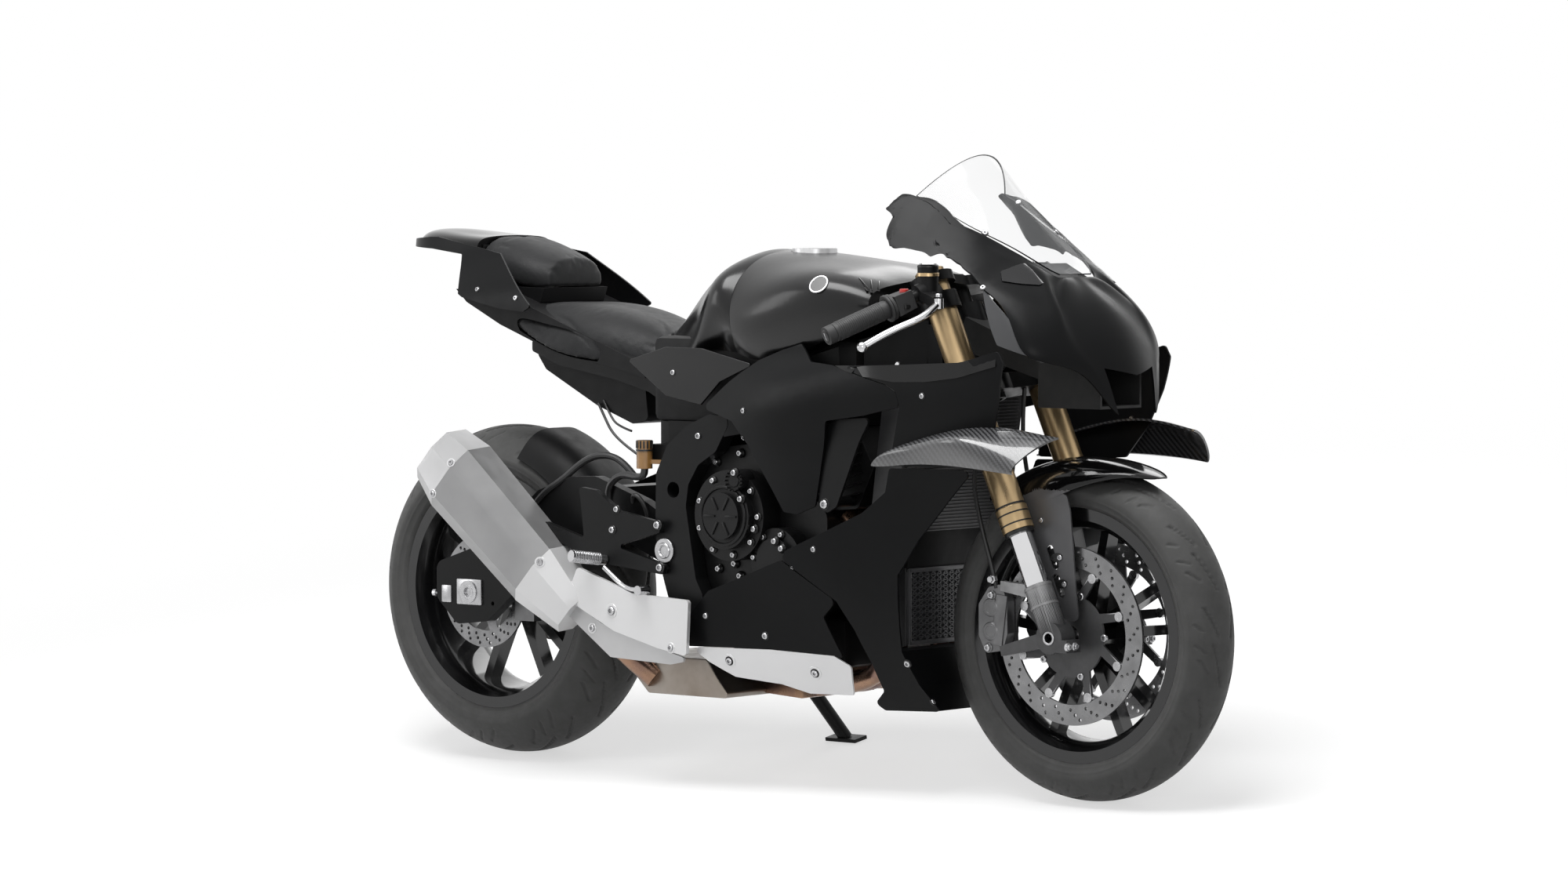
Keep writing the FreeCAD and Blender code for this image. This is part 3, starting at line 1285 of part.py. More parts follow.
# Side fairings, cut from one smooth skin that bulges at the radiator and narrows to the belly
skin_span_share = (0.293, 1.4013)
skin_heights = (130.0, 830.0)
skin_half_width = 250.0
skin_shares = [
    [(0.0, 0.448, 0.0), (0.0, 0.688, 0.086), (0.0, 0.748, 0.171), (0.0, 0.772, 0.286),
     (0.0, 0.776, 0.429), (0.0, 0.768, 0.586), (0.0, 0.76, 0.729), (0.0, 0.752, 0.857), (0.0, 0.712, 0.936), (0.0, 0.664, 1.0)],
    [(0.172, 0.448, 0.0), (0.172, 0.664, 0.086), (0.172, 0.744, 0.171), (0.172, 0.776, 0.286),
     (0.172, 0.796, 0.429), (0.172, 0.8, 0.586), (0.172, 0.792, 0.729), (0.172, 0.768, 0.857), (0.172, 0.72, 0.936), (0.172, 0.672, 1.0)],
    [(0.345, 0.424, 0.0), (0.345, 0.608, 0.086), (0.345, 0.696, 0.171), (0.345, 0.76, 0.286),
     (0.345, 0.832, 0.429), (0.345, 0.864, 0.586), (0.345, 0.88, 0.729), (0.345, 0.904, 0.857), (0.345, 0.8, 0.936), (0.345, 0.752, 1.0)],
    [(0.517, 0.376, 0.0), (0.517, 0.528, 0.086), (0.517, 0.632, 0.171), (0.517, 0.736, 0.286),
     (0.517, 0.816, 0.429), (0.517, 0.856, 0.586), (0.517, 0.888, 0.729), (0.517, 0.952, 0.857), (0.517, 0.896, 0.936), (0.517, 0.792, 1.0)],
    [(0.69, 0.32, 0.0), (0.69, 0.464, 0.086), (0.69, 0.584, 0.171), (0.69, 0.696, 0.286),
     (0.69, 0.768, 0.429), (0.69, 0.824, 0.586), (0.69, 0.896, 0.729), (0.69, 0.972, 0.857), (0.69, 0.952, 0.936), (0.69, 0.848, 1.0)],
    [(0.862, 0.304, 0.0), (0.862, 0.44, 0.086), (0.862, 0.56, 0.171), (0.862, 0.68, 0.286),
     (0.862, 0.76, 0.429), (0.862, 0.824, 0.586), (0.862, 0.904, 0.729), (0.862, 0.984, 0.857), (0.862, 0.992, 0.936), (0.862, 0.96, 1.0)],
    [(1.0, 0.288, 0.0), (1.0, 0.416, 0.086), (1.0, 0.536, 0.171), (1.0, 0.648, 0.286),
     (1.0, 0.736, 0.429), (1.0, 0.8, 0.586), (1.0, 0.864, 0.729), (1.0, 0.952, 0.857), (1.0, 0.968, 0.936), (1.0, 0.944, 1.0)]]
skin_thickness = 4.0
upper_shares = [
    (0.094, 0.803), (0.189, 0.877), (0.268, 0.934), (0.328, 0.961), (0.384, 0.979), (0.434, 0.934),
    (0.505, 0.927), (0.592, 0.901), (0.661, 0.881), (0.691, 0.863), (0.697, 0.826), (0.594, 0.8),
    (0.489, 0.783), (0.466, 0.671), (0.447, 0.559), (0.397, 0.537), (0.36, 0.541), (0.33, 0.594),
    (0.257, 0.711), (0.203, 0.773)]
front_panel_shares = [
    (0.646, 0.673), (0.698, 0.824), (0.69, 0.866), (0.661, 0.883), (0.592, 0.903), (0.524, 0.926),
    (0.694, 0.933), (0.868, 0.943), (0.96, 0.973), (0.974, 0.943), (0.96, 0.857), (0.933, 0.763),
    (0.883, 0.679), (0.793, 0.673)]
lower_shares = [
    (0.868, 0.667), (0.797, 0.59), (0.707, 0.484), (0.662, 0.414), (0.645, 0.39), (0.634, 0.28),
    (0.622, 0.186), (0.641, 0.099), (0.671, 0.029), (0.531, 0.024), (0.514, 0.043), (0.547, 0.077),
    (0.537, 0.153), (0.513, 0.24), (0.479, 0.313), (0.345, 0.416), (0.356, 0.439), (0.478, 0.5),
    (0.567, 0.547), (0.63, 0.603), (0.646, 0.666), (0.793, 0.669)]
belly_shares = [
    (0.003, 0.207), (0.063, 0.24), (0.128, 0.321), (0.341, 0.414), (0.476, 0.314), (0.437, 0.27),
    (0.47, 0.159), (0.443, 0.166), (0.284, 0.176), (0.067, 0.17)]
strip_shares = [
    (0.069, 0.169), (0.284, 0.174), (0.446, 0.166), (0.483, 0.139), (0.467, 0.061), (0.357, 0.059),
    (0.294, 0.081), (0.178, 0.094), (0.115, 0.131)]
bracket_shares = [
    (0.484, 0.774), (0.499, 0.786), (0.594, 0.794), (0.562, 0.729), (0.501, 0.561), (0.475, 0.543),
    (0.453, 0.564), (0.456, 0.673), (0.475, 0.764)]
fairing_corner = 8.0
bracket_sides = (-212.0, -206.0)
bracket_boss_place = (0.8102, 528.0)
bracket_boss_radius = 9.0
upper_boss_place = (0.7261, 740.0)
upper_boss_radius = 10.0
upper_boss_start = 150.0
lower_boss_place = (0.9427, 496.0)
belly_boss_place = (0.6904, 350.0)
panel_boss_radius = 8.0
chin_span_share = (0.9045, 1.0191)
chin_heights = (148.0, 268.0)
chin_shares = [
    (0.178, 0.017), (0.978, 0.017), (0.867, 0.433), (0.667, 0.95), (0.489, 0.983), (0.067, 0.433)]
chin_half_widths = [(96.0, 148.0), (136.0, 200.0), (160.0, 268.0)]


def fairings():
    x_start, z_start, length, height = bay_box(skin_span_share, skin_heights)
    box = (x_start, z_start, length, height)
    sheet = sheet_face(grid_points((x_start, z_start, length, skin_half_width, height), skin_shares))
    skin = sheet.extrude(Vector(0, skin_thickness, 0))
    outside = outside_of(sheet, skin_thickness / 2)

    def outline(shares):
        return side_plate(box, shares, -outside_reach * 2, 0.0, fairing_corner)

    def parted(panel, neighbour):
        for x, z in ((0.0, 0.0), (seam_gap, 0.0), (-seam_gap, 0.0), (0.0, seam_gap), (0.0, -seam_gap)):
            panel = panel.cut(moved(neighbour, x=x, z=z))
        return largest(panel)

    def boss(place, start, radius):
        return largest(bay_disc(place, -start, -outside_reach * 2, radius).cut(outside))

    upper_outline = outline(upper_shares)
    front_outline = outline(front_panel_shares)
    upper = skin.common(upper_outline)
    upper_boss = largest(boss(upper_boss_place, upper_boss_start, upper_boss_radius).cut(parts["main_frame"]))
    upper = joined([upper, upper_boss])
    front = parted(skin.common(front_outline), upper_outline)
    bracket = side_plate(box, bracket_shares, bracket_sides[0], bracket_sides[1], fairing_corner)
    bracket_boss = bay_disc(bracket_boss_place, bracket_sides[1] - seam_gap, -head_half_width - seat_gap,
                            bracket_boss_radius)
    bracket = parted(joined([bracket, bracket_boss]), skin.common(upper_outline))
    parts["upper_fairings"] = group([upper, front, bracket, mirrored(upper), mirrored(front), mirrored(bracket)])

    lower = parted(parted(skin.common(outline(lower_shares)), upper_outline), front_outline)
    lower = joined([lower, boss(lower_boss_place, radiator_half_width + seat_gap, panel_boss_radius)])
    chin_box = bay_box(chin_span_share, chin_heights)
    right = [Vector(chin_box[0], -y, z) for y, z in chin_half_widths]
    ring = right + [Vector(point.x, -point.y, point.z) for point in reversed(right)]
    prism = Part.Face(Part.makePolygon(ring + ring[:1])).extrude(forward * chin_box[2])
    chin = prism.common(side_plate(chin_box, chin_shares, -outside_reach, outside_reach))
    chin = largest(chin.cut(outside).cut(mirrored(outside)))
    parts["lower_fairings"] = joined([lower, mirrored(lower), chin])

    strip_outline = outline(strip_shares)
    strip = parted(skin.common(strip_outline), outline(lower_shares))
    belly = parted(parted(skin.common(outline(belly_shares)), strip_outline), outline(lower_shares))
    belly = joined([belly, boss(belly_boss_place, case_half_width + seat_gap, panel_boss_radius)])
    parts["belly_pans"] = group([belly, strip, mirrored(belly), mirrored(strip)])


# Nose, measured back from the front axle
nose_setback = 355.0
nose_size = (500.0, 220.0, 400.0)
nose_low = 690.0
nose_shares = [
    [(0.058, 0.809, 0.945), (0.058, 0.895, 0.907), (0.08, 0.936, 0.855), (0.1, 0.959, 0.8),
     (0.122, 0.968, 0.748)],
    [(0.112, 0.614, 0.985), (0.136, 0.705, 0.935), (0.168, 0.782, 0.87), (0.192, 0.845, 0.8),
     (0.204, 0.891, 0.725)],
    [(0.368, 0.509, 0.828), (0.384, 0.591, 0.79), (0.396, 0.682, 0.748), (0.4, 0.764, 0.705),
     (0.396, 0.814, 0.67)],
    [(0.542, 0.364, 0.703), (0.556, 0.473, 0.675), (0.556, 0.582, 0.64), (0.536, 0.727, 0.61),
     (0.514, 0.855, 0.573)],
    [(0.624, 0.282, 0.635), (0.66, 0.445, 0.59), (0.688, 0.582, 0.52), (0.676, 0.736, 0.475),
     (0.632, 0.859, 0.44)],
    [(0.642, 0.236, 0.62), (0.712, 0.468, 0.52), (0.76, 0.591, 0.425), (0.752, 0.741, 0.34),
     (0.71, 0.85, 0.28)],
    [(0.65, 0.164, 0.62), (0.732, 0.382, 0.507), (0.81, 0.482, 0.335), (0.848, 0.455, 0.24),
     (0.844, 0.5, 0.19)],
    [(0.654, 0.082, 0.62), (0.748, 0.209, 0.505), (0.832, 0.327, 0.345), (0.878, 0.327, 0.19),
     (0.912, 0.264, 0.022)],
    [(0.656, 0.0, 0.62), (0.76, 0.0, 0.52), (0.852, 0.0, 0.38), (0.908, 0.0, 0.205),
     (0.928, 0.0, 0.022)]]
nose_thickness = 4.0
mouth_shares = [(-0.318, 0.222), (0.0, 0.188), (0.318, 0.222), (0.225, -0.05), (-0.225, -0.05)]
mouth_depth_share = 0.78
side_panel_shares = [
    [(0.514, 0.859, 0.57), (0.538, 0.868, 0.45), (0.586, 0.882, 0.325)],
    [(0.572, 0.864, 0.507), (0.604, 0.873, 0.42), (0.648, 0.877, 0.302)],
    [(0.632, 0.859, 0.44), (0.674, 0.859, 0.362), (0.71, 0.85, 0.28)]]
side_panel_thickness = 4.0
lamp_place = (95.0, 920.0, 74.0, 50.0)
lamp_shares = [
    (0.027, 0.6), (0.243, 0.88), (0.486, 0.64), (0.946, 0.1), (0.568, 0.16), (0.216, 0.26)]
lamp_proud = 2.0
dash_place = (147.0, 909.0, 112.0, 55.0)
dash_shares = [
    (0.25, 0.855), (0.446, 0.964), (1.0, 0.382), (0.893, 0.127), (0.339, 0.018), (0.0, 0.182)]
dash_half_width = 52.0
duct_place = (75.0, 705.0, 140.0, 80.0)
duct_half_width = 60.0
duct_wall = 5.0
neck_root_height = 836.0
neck_end = (55.0, 765.0)
neck_root_size = (72.0, 60.0)
neck_end_size = (72.0, 40.0)


def nose_grid():
    length, half_width, height = nose_size
    half = grid_points((wheelbase - nose_setback, nose_low, length, half_width, height), nose_shares)
    return half + [[Vector(p.x, -p.y, p.z) for p in row] for row in reversed(half[:-1])]


def nose():
    length, half_width, height = nose_size
    x_start = wheelbase - nose_setback
    cowl = curved_shell(nose_grid(), nose_thickness)
    mouth_points = [Vector(x_start + length * mouth_depth_share, half_width * a, nose_low + height * b)
                    for a, b in mouth_shares]
    mouth = Part.Face(Part.makePolygon(mouth_points + mouth_points[:1])).extrude(forward * length)
    cowl = largest(cowl.cut(mouth))
    parts["nose_cowl"] = cowl
    duct_box = front_box(duct_place)
    duct = box_block(duct_box, -duct_half_width, duct_half_width)
    inner_box = (duct_box[0] + duct_wall, duct_box[1] + duct_wall, duct_box[2], duct_box[3] - duct_wall * 2)
    duct = duct.cut(box_block(inner_box, duct_wall - duct_half_width, duct_half_width - duct_wall))
    neck = tapered_bar(axis_point(neck_root_height), Vector(wheelbase - neck_end[0], 0, neck_end[1]),
                       neck_root_size, neck_end_size, side)
    neck = largest(neck.cut(box_block(inner_box, duct_wall - duct_half_width, duct_half_width - duct_wall)))
    duct = joined([duct, neck])
    duct = duct.cut(cowl).cut(moved(cowl, x=-seat_gap)).cut(parts["main_frame"])
    duct = duct.cut(rod(axis_point(head_tube_low - head_tube_radius * 2),
                        axis_point(head_tube_top + head_tube_radius * 2), head_tube_radius))
    parts["nose_duct"] = largest(duct)
    box = (x_start, nose_low, length, half_width, height)
    panel = curved_shell(grid_points(box, side_panel_shares), side_panel_thickness)
    parts["nose_side_panels"] = both_sides(largest(panel.cut(cowl)))
    shell = curved_shell(nose_grid(), -lamp_proud)
    lamp = shell.common(side_plate(front_box(lamp_place), lamp_shares, -half_width * 1.5, 0.0, lamp_proud))
    parts["marker_lamps"] = both_sides(largest(lamp.cut(cowl)))
    dash = side_plate(front_box(dash_place), dash_shares, -dash_half_width, dash_half_width, lamp_proud)
    parts["instrument_panel"] = largest(dash.cut(cowl).cut(moved(cowl, x=-seat_gap)))


screen_setback = 245.0
screen_low = 938.0
screen_size = (214.0, 140.0, 220.0)
screen_centre_shares = [(0.991, 0.027), (0.827, 0.16), (0.63, 0.35), (0.41, 0.56), (0.2, 0.78), (0.0, 1.0)]
screen_seam_shares = [(0.977, 0.328, 0.027), (0.841, 0.493, 0.118), (0.621, 0.636, 0.25), (0.346, 0.757, 0.377),
                      (0.056, 0.85, 0.523), (-0.252, 0.921, 0.664)]
screen_blend_shares = (1.0, 0.8, 0.55, 0.28)
screen_thickness = 3.0


def windscreen():
    x_start = wheelbase - screen_setback
    length, half_width, height = screen_size
    grid = []
    for (centre_along, centre_up), (seam_along, seam_out, seam_up) in zip(screen_centre_shares, screen_seam_shares):
        centre = Vector(x_start + length * centre_along, 0, screen_low + height * centre_up)
        seam = Vector(x_start + length * seam_along, -half_width * seam_out, screen_low + height * seam_up)
        right = []
        for share in screen_blend_shares:
            blend = share ** 2.0
            right.append(Vector(centre.x + (seam.x - centre.x) * blend, seam.y * share,
                                centre.z + (seam.z - centre.z) * blend))
        left = [Vector(p.x, -p.y, p.z) for p in reversed(right)]
        grid.append(right + [centre] + left)
    parts["windscreen"] = largest(curved_shell(grid, screen_thickness).cut(parts["nose_cowl"]))


winglet_setback = 320.0
winglet_low = 590.0
winglet_size = (400.0, 300.0, 90.0)
winglet_shares = [
    [(0.018, 0.8, 0.111), (0.022, 0.81, 0.156), (0.028, 0.803, 0.189), (0.033, 0.79, 0.222)],
    [(0.237, 0.847, 0.178), (0.233, 0.873, 0.467), (0.237, 0.833, 0.589), (0.242, 0.72, 0.644)],
    [(0.46, 0.893, 0.211), (0.443, 0.947, 0.644), (0.443, 0.873, 0.789), (0.448, 0.72, 0.867)],
    [(0.667, 0.933, 0.178), (0.625, 1.0, 0.711), (0.632, 0.893, 0.878), (0.642, 0.72, 0.967)],
    [(0.8, 0.953, 0.133), (0.782, 0.987, 0.578), (0.797, 0.873, 0.8), (0.818, 0.707, 0.911)],
    [(0.915, 0.96, 0.089), (0.925, 0.947, 0.289), (0.963, 0.833, 0.578), (1.0, 0.667, 0.789)]]
winglet_thickness = 4.0


def winglets():
    # A carbon blade on each side whose outer edge turns down.
    length, half_width, height = winglet_size
    box = (wheelbase - winglet_setback, winglet_low, length, half_width, height)
    blade = curved_shell(grid_points(box, winglet_shares), -winglet_thickness)
    blade = blade.cut(parts["upper_fairings"]).cut(parts["lower_fairings"])
    parts["winglets"] = both_sides(largest(blade))


hugger_clearance = 12.0
hugger_start_angle = 72.0
hugger_end_angle = 18.0
hugger_half_width = 98.5
hugger_side_drop = 60.0
hugger_thickness = 4.0
hugger_out_shares = (-1.0, -0.85, -0.5, 0.0, 0.5, 0.85, 1.0)
hugger_foot_share = 0.5
hugger_foot_radius = 7.0


def hugger():
    # A close cover over the top front quarter of the rear tyre, with sides down to the swingarm.
    inner = rear_wheel_radius + hugger_clearance
    rows = []
    steps = 6
    for step in range(steps):
        share = step / (steps - 1)
        angle = math.radians(hugger_start_angle + (hugger_end_angle - hugger_start_angle) * share)
        line = []
        for out in hugger_out_shares:
            radius = inner - hugger_side_drop * abs(out) ** 4
            line.append(rear_axle_place + Vector(radius * math.cos(angle), hugger_half_width * out,
                                                 radius * math.sin(angle)))
        rows.append(line)
    parts["rear_hugger"] = largest(curved_shell(rows, -hugger_thickness).cut(parts["swingarm"]))


# Footrests, rear brake and stand
rearset_span_share = (-0.121, 0.2611)
rearset_heights = (380.0, 540.0)
rearset_shares = [
    (0.0, 0.5), (0.06, 0.562), (0.42, 0.381), (0.4, 0.719), (0.38, 0.981), (0.52, 0.95), (0.72, 0.719),
    (1.05, 0.613), (1.063, 0.487), (0.68, 0.3), (1.103, 0.113), (1.083, 0.0), (0.55, 0.1),
    (0.4, 0.163)]
rearset_sides = (-198.0, -186.0)
rearset_corner = 5.0
rearset_boss_places = ((0.2739, 468.0), (0.2917, 389.0))
rearset_boss_radius = 7.0
peg_root = (0.107, -198.3, 402.0)
peg_end = (0.0841, -272.0, 412.0)
peg_radius = 11.0
pedal_route = ((0.1197, -210.0, 388.0), (0.1911, -214.0, 352.0), (0.2675, -232.0, 352.0))
pedal_radius = 5.0
pedal_pad_radius = 9.0
pedal_pad_half_length = 14.0


def footrests():
    plate = side_plate(bay_box(rearset_span_share, rearset_heights), rearset_shares, rearset_sides[0],
                       rearset_sides[1], rearset_corner)
    bosses = [bay_disc(place, rearset_sides[1] - overrun, -frame_plate_outer - seat_gap, rearset_boss_radius)
              for place in rearset_boss_places]
    plate = joined([plate] + bosses).cut(parts["swingarm_pivot"])
    peg = largest(rod(bay_point(peg_root), bay_point(peg_end), peg_radius).cut(plate))
    route = [bay_point(place) for place in pedal_route]
    pad_reach = side * pedal_pad_half_length
    pedal = joined([tube(route, pedal_radius), rod(route[-1] - pad_reach, route[-1] + pad_reach, pedal_pad_radius)])
    pedal = largest(pedal.cut(plate).cut(peg).cut(parts["heat_shields"]))
    right_plate = largest(plate.cut(parts["silencer"]).cut(parts["heat_shields"]))
    parts["footrests"] = group([right_plate, peg, pedal, mirrored(plate), mirrored(peg), mirrored(pedal)])


rear_caliper_box = (96.0, 268.0, 50.0, 62.0)
rear_caliper_inner = 88.0
rear_caliper_clearance = 3.0
rear_caliper_room = 1.5
cup_place = (0.2115, -176.0, 575.0)
rear_cup_height = 53.0
rear_cup_radius = 15.0
cup_strap_start = (0.2115, -172.0, 588.0)
cup_strap_end = (0.28, -166.0, 588.0)
cup_strap_size = (10.0, 8.0)


def rear_brake():
    caliper = box_block(rear_caliper_box, seat_gap - swing_arm_inner, -rear_caliper_inner)
    slot = disc_thickness / 2 + rear_caliper_room
    caliper = caliper.cut(rod(rear_axle_place - side * (rear_disc_offset + slot),
                              rear_axle_place - side * (rear_disc_offset - slot), rear_disc_radius + disc_clearance))
    caliper = caliper.cut(rod(rear_axle_place - side * (rear_hub_half_width + rear_caliper_clearance),
                              rear_axle_place, rear_wheel_radius))
    caliper = largest(caliper)
    foot = bay_point(cup_place)
    cup = rod(foot, foot + upright * rear_cup_height, rear_cup_radius)
    strap = tapered_bar(bay_point(cup_strap_start), bay_point(cup_strap_end), cup_strap_size, cup_strap_size, side)
    cup = largest(joined([cup, strap]).cut(parts["main_frame"]))
    parts["rear_brake"] = group([caliper, cup])


stand_pivot_place = (0.2803, 150.0, 226.0)
stand_reach = (82.0, 96.0)
stand_radius = 13.0
stand_foot_size = (74.0, 36.0, 7.0)
stand_knuckle_radius = 20.0
stand_knuckle_half_width = 16.0
stand_pin_radius = 7.0
stand_pin_reach = (24.0, 22.0)
stand_ear_half_length = 26.0
stand_ear_sides = (28.0, 17.0)
stand_ear_top = 300.0


def side_stand():
    pivot = bay_point(stand_pivot_place)
    lean = math.radians(lean_angle)
    foot_y = pivot.y + stand_reach[1]
    drop = rear_crown_radius * (1 - math.cos(lean))
    ground_z = (foot_y * math.sin(lean) - drop) / math.cos(lean)
    foot = Vector(pivot.x + stand_reach[0], foot_y, ground_z)
    normal = Vector(0, -math.sin(lean), math.cos(lean))
    out = forward.cross(normal) * -1
    plate_ring = rectangle(foot, forward, out, stand_foot_size[0], stand_foot_size[1])
    plate = Part.Face(plate_ring).extrude(normal * stand_foot_size[2])
    leg = rod(pivot, foot + normal * stand_foot_size[2] * 0.6, stand_radius)
    half = side * stand_knuckle_half_width
    knuckle = rod(pivot - half, pivot + half, stand_knuckle_radius)
    stand = joined([leg, plate, knuckle])
    ground = Part.makeBox(outside_reach * 3, outside_reach * 3, outside_reach,
                          Vector(-outside_reach * 1.5, -outside_reach * 1.5, -outside_reach))
    ground.rotate(Vector(0, 0, 0), forward, lean_angle)
    ground.translate(foot)
    stand = stand.cut(ground)
    parts["side_stand"] = stand.cut(rod(pivot - half * 3, pivot + half * 3, stand_pin_radius))
    pin = rod(pivot - side * stand_pin_reach[0], pivot + side * stand_pin_reach[1], stand_pin_radius - running_gap)
    ear = block(pivot.x - stand_ear_half_length, pivot.x + stand_ear_half_length, pivot.y - stand_ear_sides[0],
                pivot.y - stand_ear_sides[1], pivot.z - stand_knuckle_radius, stand_ear_top)
    parts["main_frame"] = joined([parts["main_frame"], pin, ear])


front_wheel()
rear_wheel()
chain()
front_fork()
front_calipers()
clamps()
front_fender()
handlebars()
hand_controls()
brake_hoses()
main_frame()
swingarm()
engine()
cooling()
shock()
headers, link = exhaust()
heat_shields(silencer(headers, link))
tank()
seats()
tail()
fairings()
nose()
windscreen()
winglets()
hugger()
footrests()
rear_brake()
side_stand()

# Lean the whole model onto its stand, and set its lowest point on the ground under its middle
leaned = {}
for name, shape in parts.items():
    turned = shape.copy()
    turned.rotate(Vector(0, 0, 0), forward, -lean_angle)
    leaned[name] = turned
whole = Part.makeCompound(list(leaned.values())).BoundBox
shift = Vector(-(whole.XMin + whole.XMax) / 2, -(whole.YMin + whole.YMax) / 2, -whole.ZMin)
os.makedirs("parts", exist_ok=True)
for name, shape in leaned.items():
    shape.translate(shift)
    shape.exportStep("parts/" + name + ".step")
    print(name, len(shape.Solids), shape.isValid(), round(shape.Volume / 1000.0, 1))
print("shift", round(shift.x, 3), round(shift.y, 3), round(shift.z, 3), "size", round(whole.XLength, 1),
      round(whole.YLength, 1), round(whole.ZLength, 1), "nodes", len(leaned))
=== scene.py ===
# %% [markdown]
# A sport bike stands on its side stand in a white studio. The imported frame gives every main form, and this
# script gives the looks: finishes, soft seat pads, tyre tread, screws and trim. Everything is placed in the
# bike's own upright frame in millimetres, because a maker thinks of it upright, and is leaned at the end.

# %% Load the frame
import json
import math
import bmesh
import bpy
from mathutils import Matrix, Vector
from mathutils.bvhtree import BVHTree

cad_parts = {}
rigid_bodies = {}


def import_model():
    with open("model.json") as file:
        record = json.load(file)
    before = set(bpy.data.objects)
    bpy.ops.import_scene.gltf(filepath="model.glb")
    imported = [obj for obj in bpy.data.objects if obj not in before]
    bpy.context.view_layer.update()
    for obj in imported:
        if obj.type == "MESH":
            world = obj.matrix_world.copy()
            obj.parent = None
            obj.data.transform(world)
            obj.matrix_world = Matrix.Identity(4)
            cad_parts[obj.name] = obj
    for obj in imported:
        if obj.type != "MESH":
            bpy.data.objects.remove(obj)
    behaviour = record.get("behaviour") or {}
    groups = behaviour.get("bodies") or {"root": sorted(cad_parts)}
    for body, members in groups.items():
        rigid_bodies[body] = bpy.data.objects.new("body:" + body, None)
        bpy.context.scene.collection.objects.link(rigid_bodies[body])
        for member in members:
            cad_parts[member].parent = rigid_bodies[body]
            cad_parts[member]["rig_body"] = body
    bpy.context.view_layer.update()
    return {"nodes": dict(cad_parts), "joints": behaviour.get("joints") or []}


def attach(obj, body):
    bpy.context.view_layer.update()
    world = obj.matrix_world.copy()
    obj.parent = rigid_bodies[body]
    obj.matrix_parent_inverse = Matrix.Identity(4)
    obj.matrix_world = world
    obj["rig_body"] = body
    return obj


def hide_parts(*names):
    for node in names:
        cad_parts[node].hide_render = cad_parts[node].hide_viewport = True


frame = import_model()
scene = bpy.context.scene
scene.view_settings.view_transform = "Standard"
JOINT = {joint["name"]: joint for joint in frame["joints"]}

# %% [markdown]
# The bike leans to its left. Its lean can be typed in, or read from the rear wheel's axis, which lies level
# only on an upright bike. Reading it keeps the script right if the lean changes.

# %% The bike's own frame
MM = 0.001
REAR_AXLE = Vector((0, 0, 320))
FRONT_AXLE = Vector((1405, 0, 300))
spin_axis = Vector(JOINT["rear_wheel_spin"]["axis"])
LEAN = math.atan2(abs(spin_axis.z), abs(spin_axis.y))
LEAN_TURN = Matrix.Rotation(-LEAN, 4, "X")
SHIFT = Vector(JOINT["rear_wheel_spin"]["pos_m"]) - LEAN_TURN @ (REAR_AXLE * MM)
BIKE = Matrix.Translation(SHIFT) @ LEAN_TURN @ Matrix.Scale(MM, 4)
UPRIGHT = BIKE.inverted()
print("lean", round(math.degrees(LEAN), 2), "shift", tuple(round(v, 4) for v in SHIFT))

# %% [markdown]
# The camera was solved from the outlines of both wheels, which are circles of known size. Its turns are
# yaw, pitch and roll in the upright frame, so the same lean carries it along with the bike.

# %% Camera
yaw, pitch, roll = (math.radians(angle) for angle in (40.755, 2.627, -0.1735))
ahead = Vector((-math.sin(yaw) * math.cos(pitch), math.cos(yaw) * math.cos(pitch), -math.sin(pitch)))
right = Vector((math.cos(yaw), math.sin(yaw), 0))
above = right.cross(ahead)
right, above = (
    math.cos(roll) * right + math.sin(roll) * above,
    math.cos(roll) * above - math.sin(roll) * right,
)
EYE = Vector((7517.92, -7935.77, 1105.97))
SENSOR_WIDTH, LENS = 36.0, 128.68
camera = bpy.data.objects.new("camera", bpy.data.cameras.new("camera"))
scene.collection.objects.link(camera)
camera.data.sensor_width = SENSOR_WIDTH
camera.data.lens = LENS
camera.data.clip_end = 100
turn = Matrix((right, above, -ahead)).transposed().to_4x4()
camera.matrix_world = Matrix.Translation(BIKE @ EYE) @ (LEAN_TURN @ turn)
scene.camera = camera

# %% [markdown]
# A white studio is a large floor that runs into a white surround. The floor could be lit until it clips,
# but that also lights the bike too much. Here the lamps stay plain, and a little glow that only the camera
# and the reflections see lifts the floor to white, so the soft shadow still shows.

# %% Small helpers for node trees
def tree_of(owner):
    """The nodes and links of a material or world, emptied of their first nodes."""
    owner.use_nodes = True
    owner.node_tree.nodes.clear()
    return owner.node_tree.nodes, owner.node_tree.links


def node_with(nodes, kind, **values):
    """A new node with numbers or colours set on its sockets; an underscore in a name stands for a space."""
    made = nodes.new(kind)
    for name, value in values.items():
        made.inputs[name.replace("_", " ")].default_value = value
    return made


def math_node(nodes, links, kind, first, second=None):
    """One sum on a value, alone or with a number or another value."""
    step = nodes.new("ShaderNodeMath")
    step.operation = kind
    links.new(first, step.inputs[0])
    if isinstance(second, (int, float)):
        step.inputs[1].default_value = second
    elif second is not None:
        links.new(second, step.inputs[1])
    return step.outputs[0]


def either_of(nodes, links, share, first, second):
    """One shader where the share is 0 and another where it is 1."""
    mixed = nodes.new("ShaderNodeMixShader")
    for slot, source in enumerate((share, first.outputs[0], second.outputs[0])):
        links.new(source, mixed.inputs[slot])
    return mixed


def seen_ray(nodes, links):
    """A value that is 1 for rays of the camera, of reflections and through glass."""
    path = nodes.new("ShaderNodeLightPath")
    seen = path.outputs["Is Camera Ray"]
    for kind in ("Is Glossy Ray", "Is Transmission Ray"):
        seen = math_node(nodes, links, "MAXIMUM", seen, path.outputs[kind])
    return seen


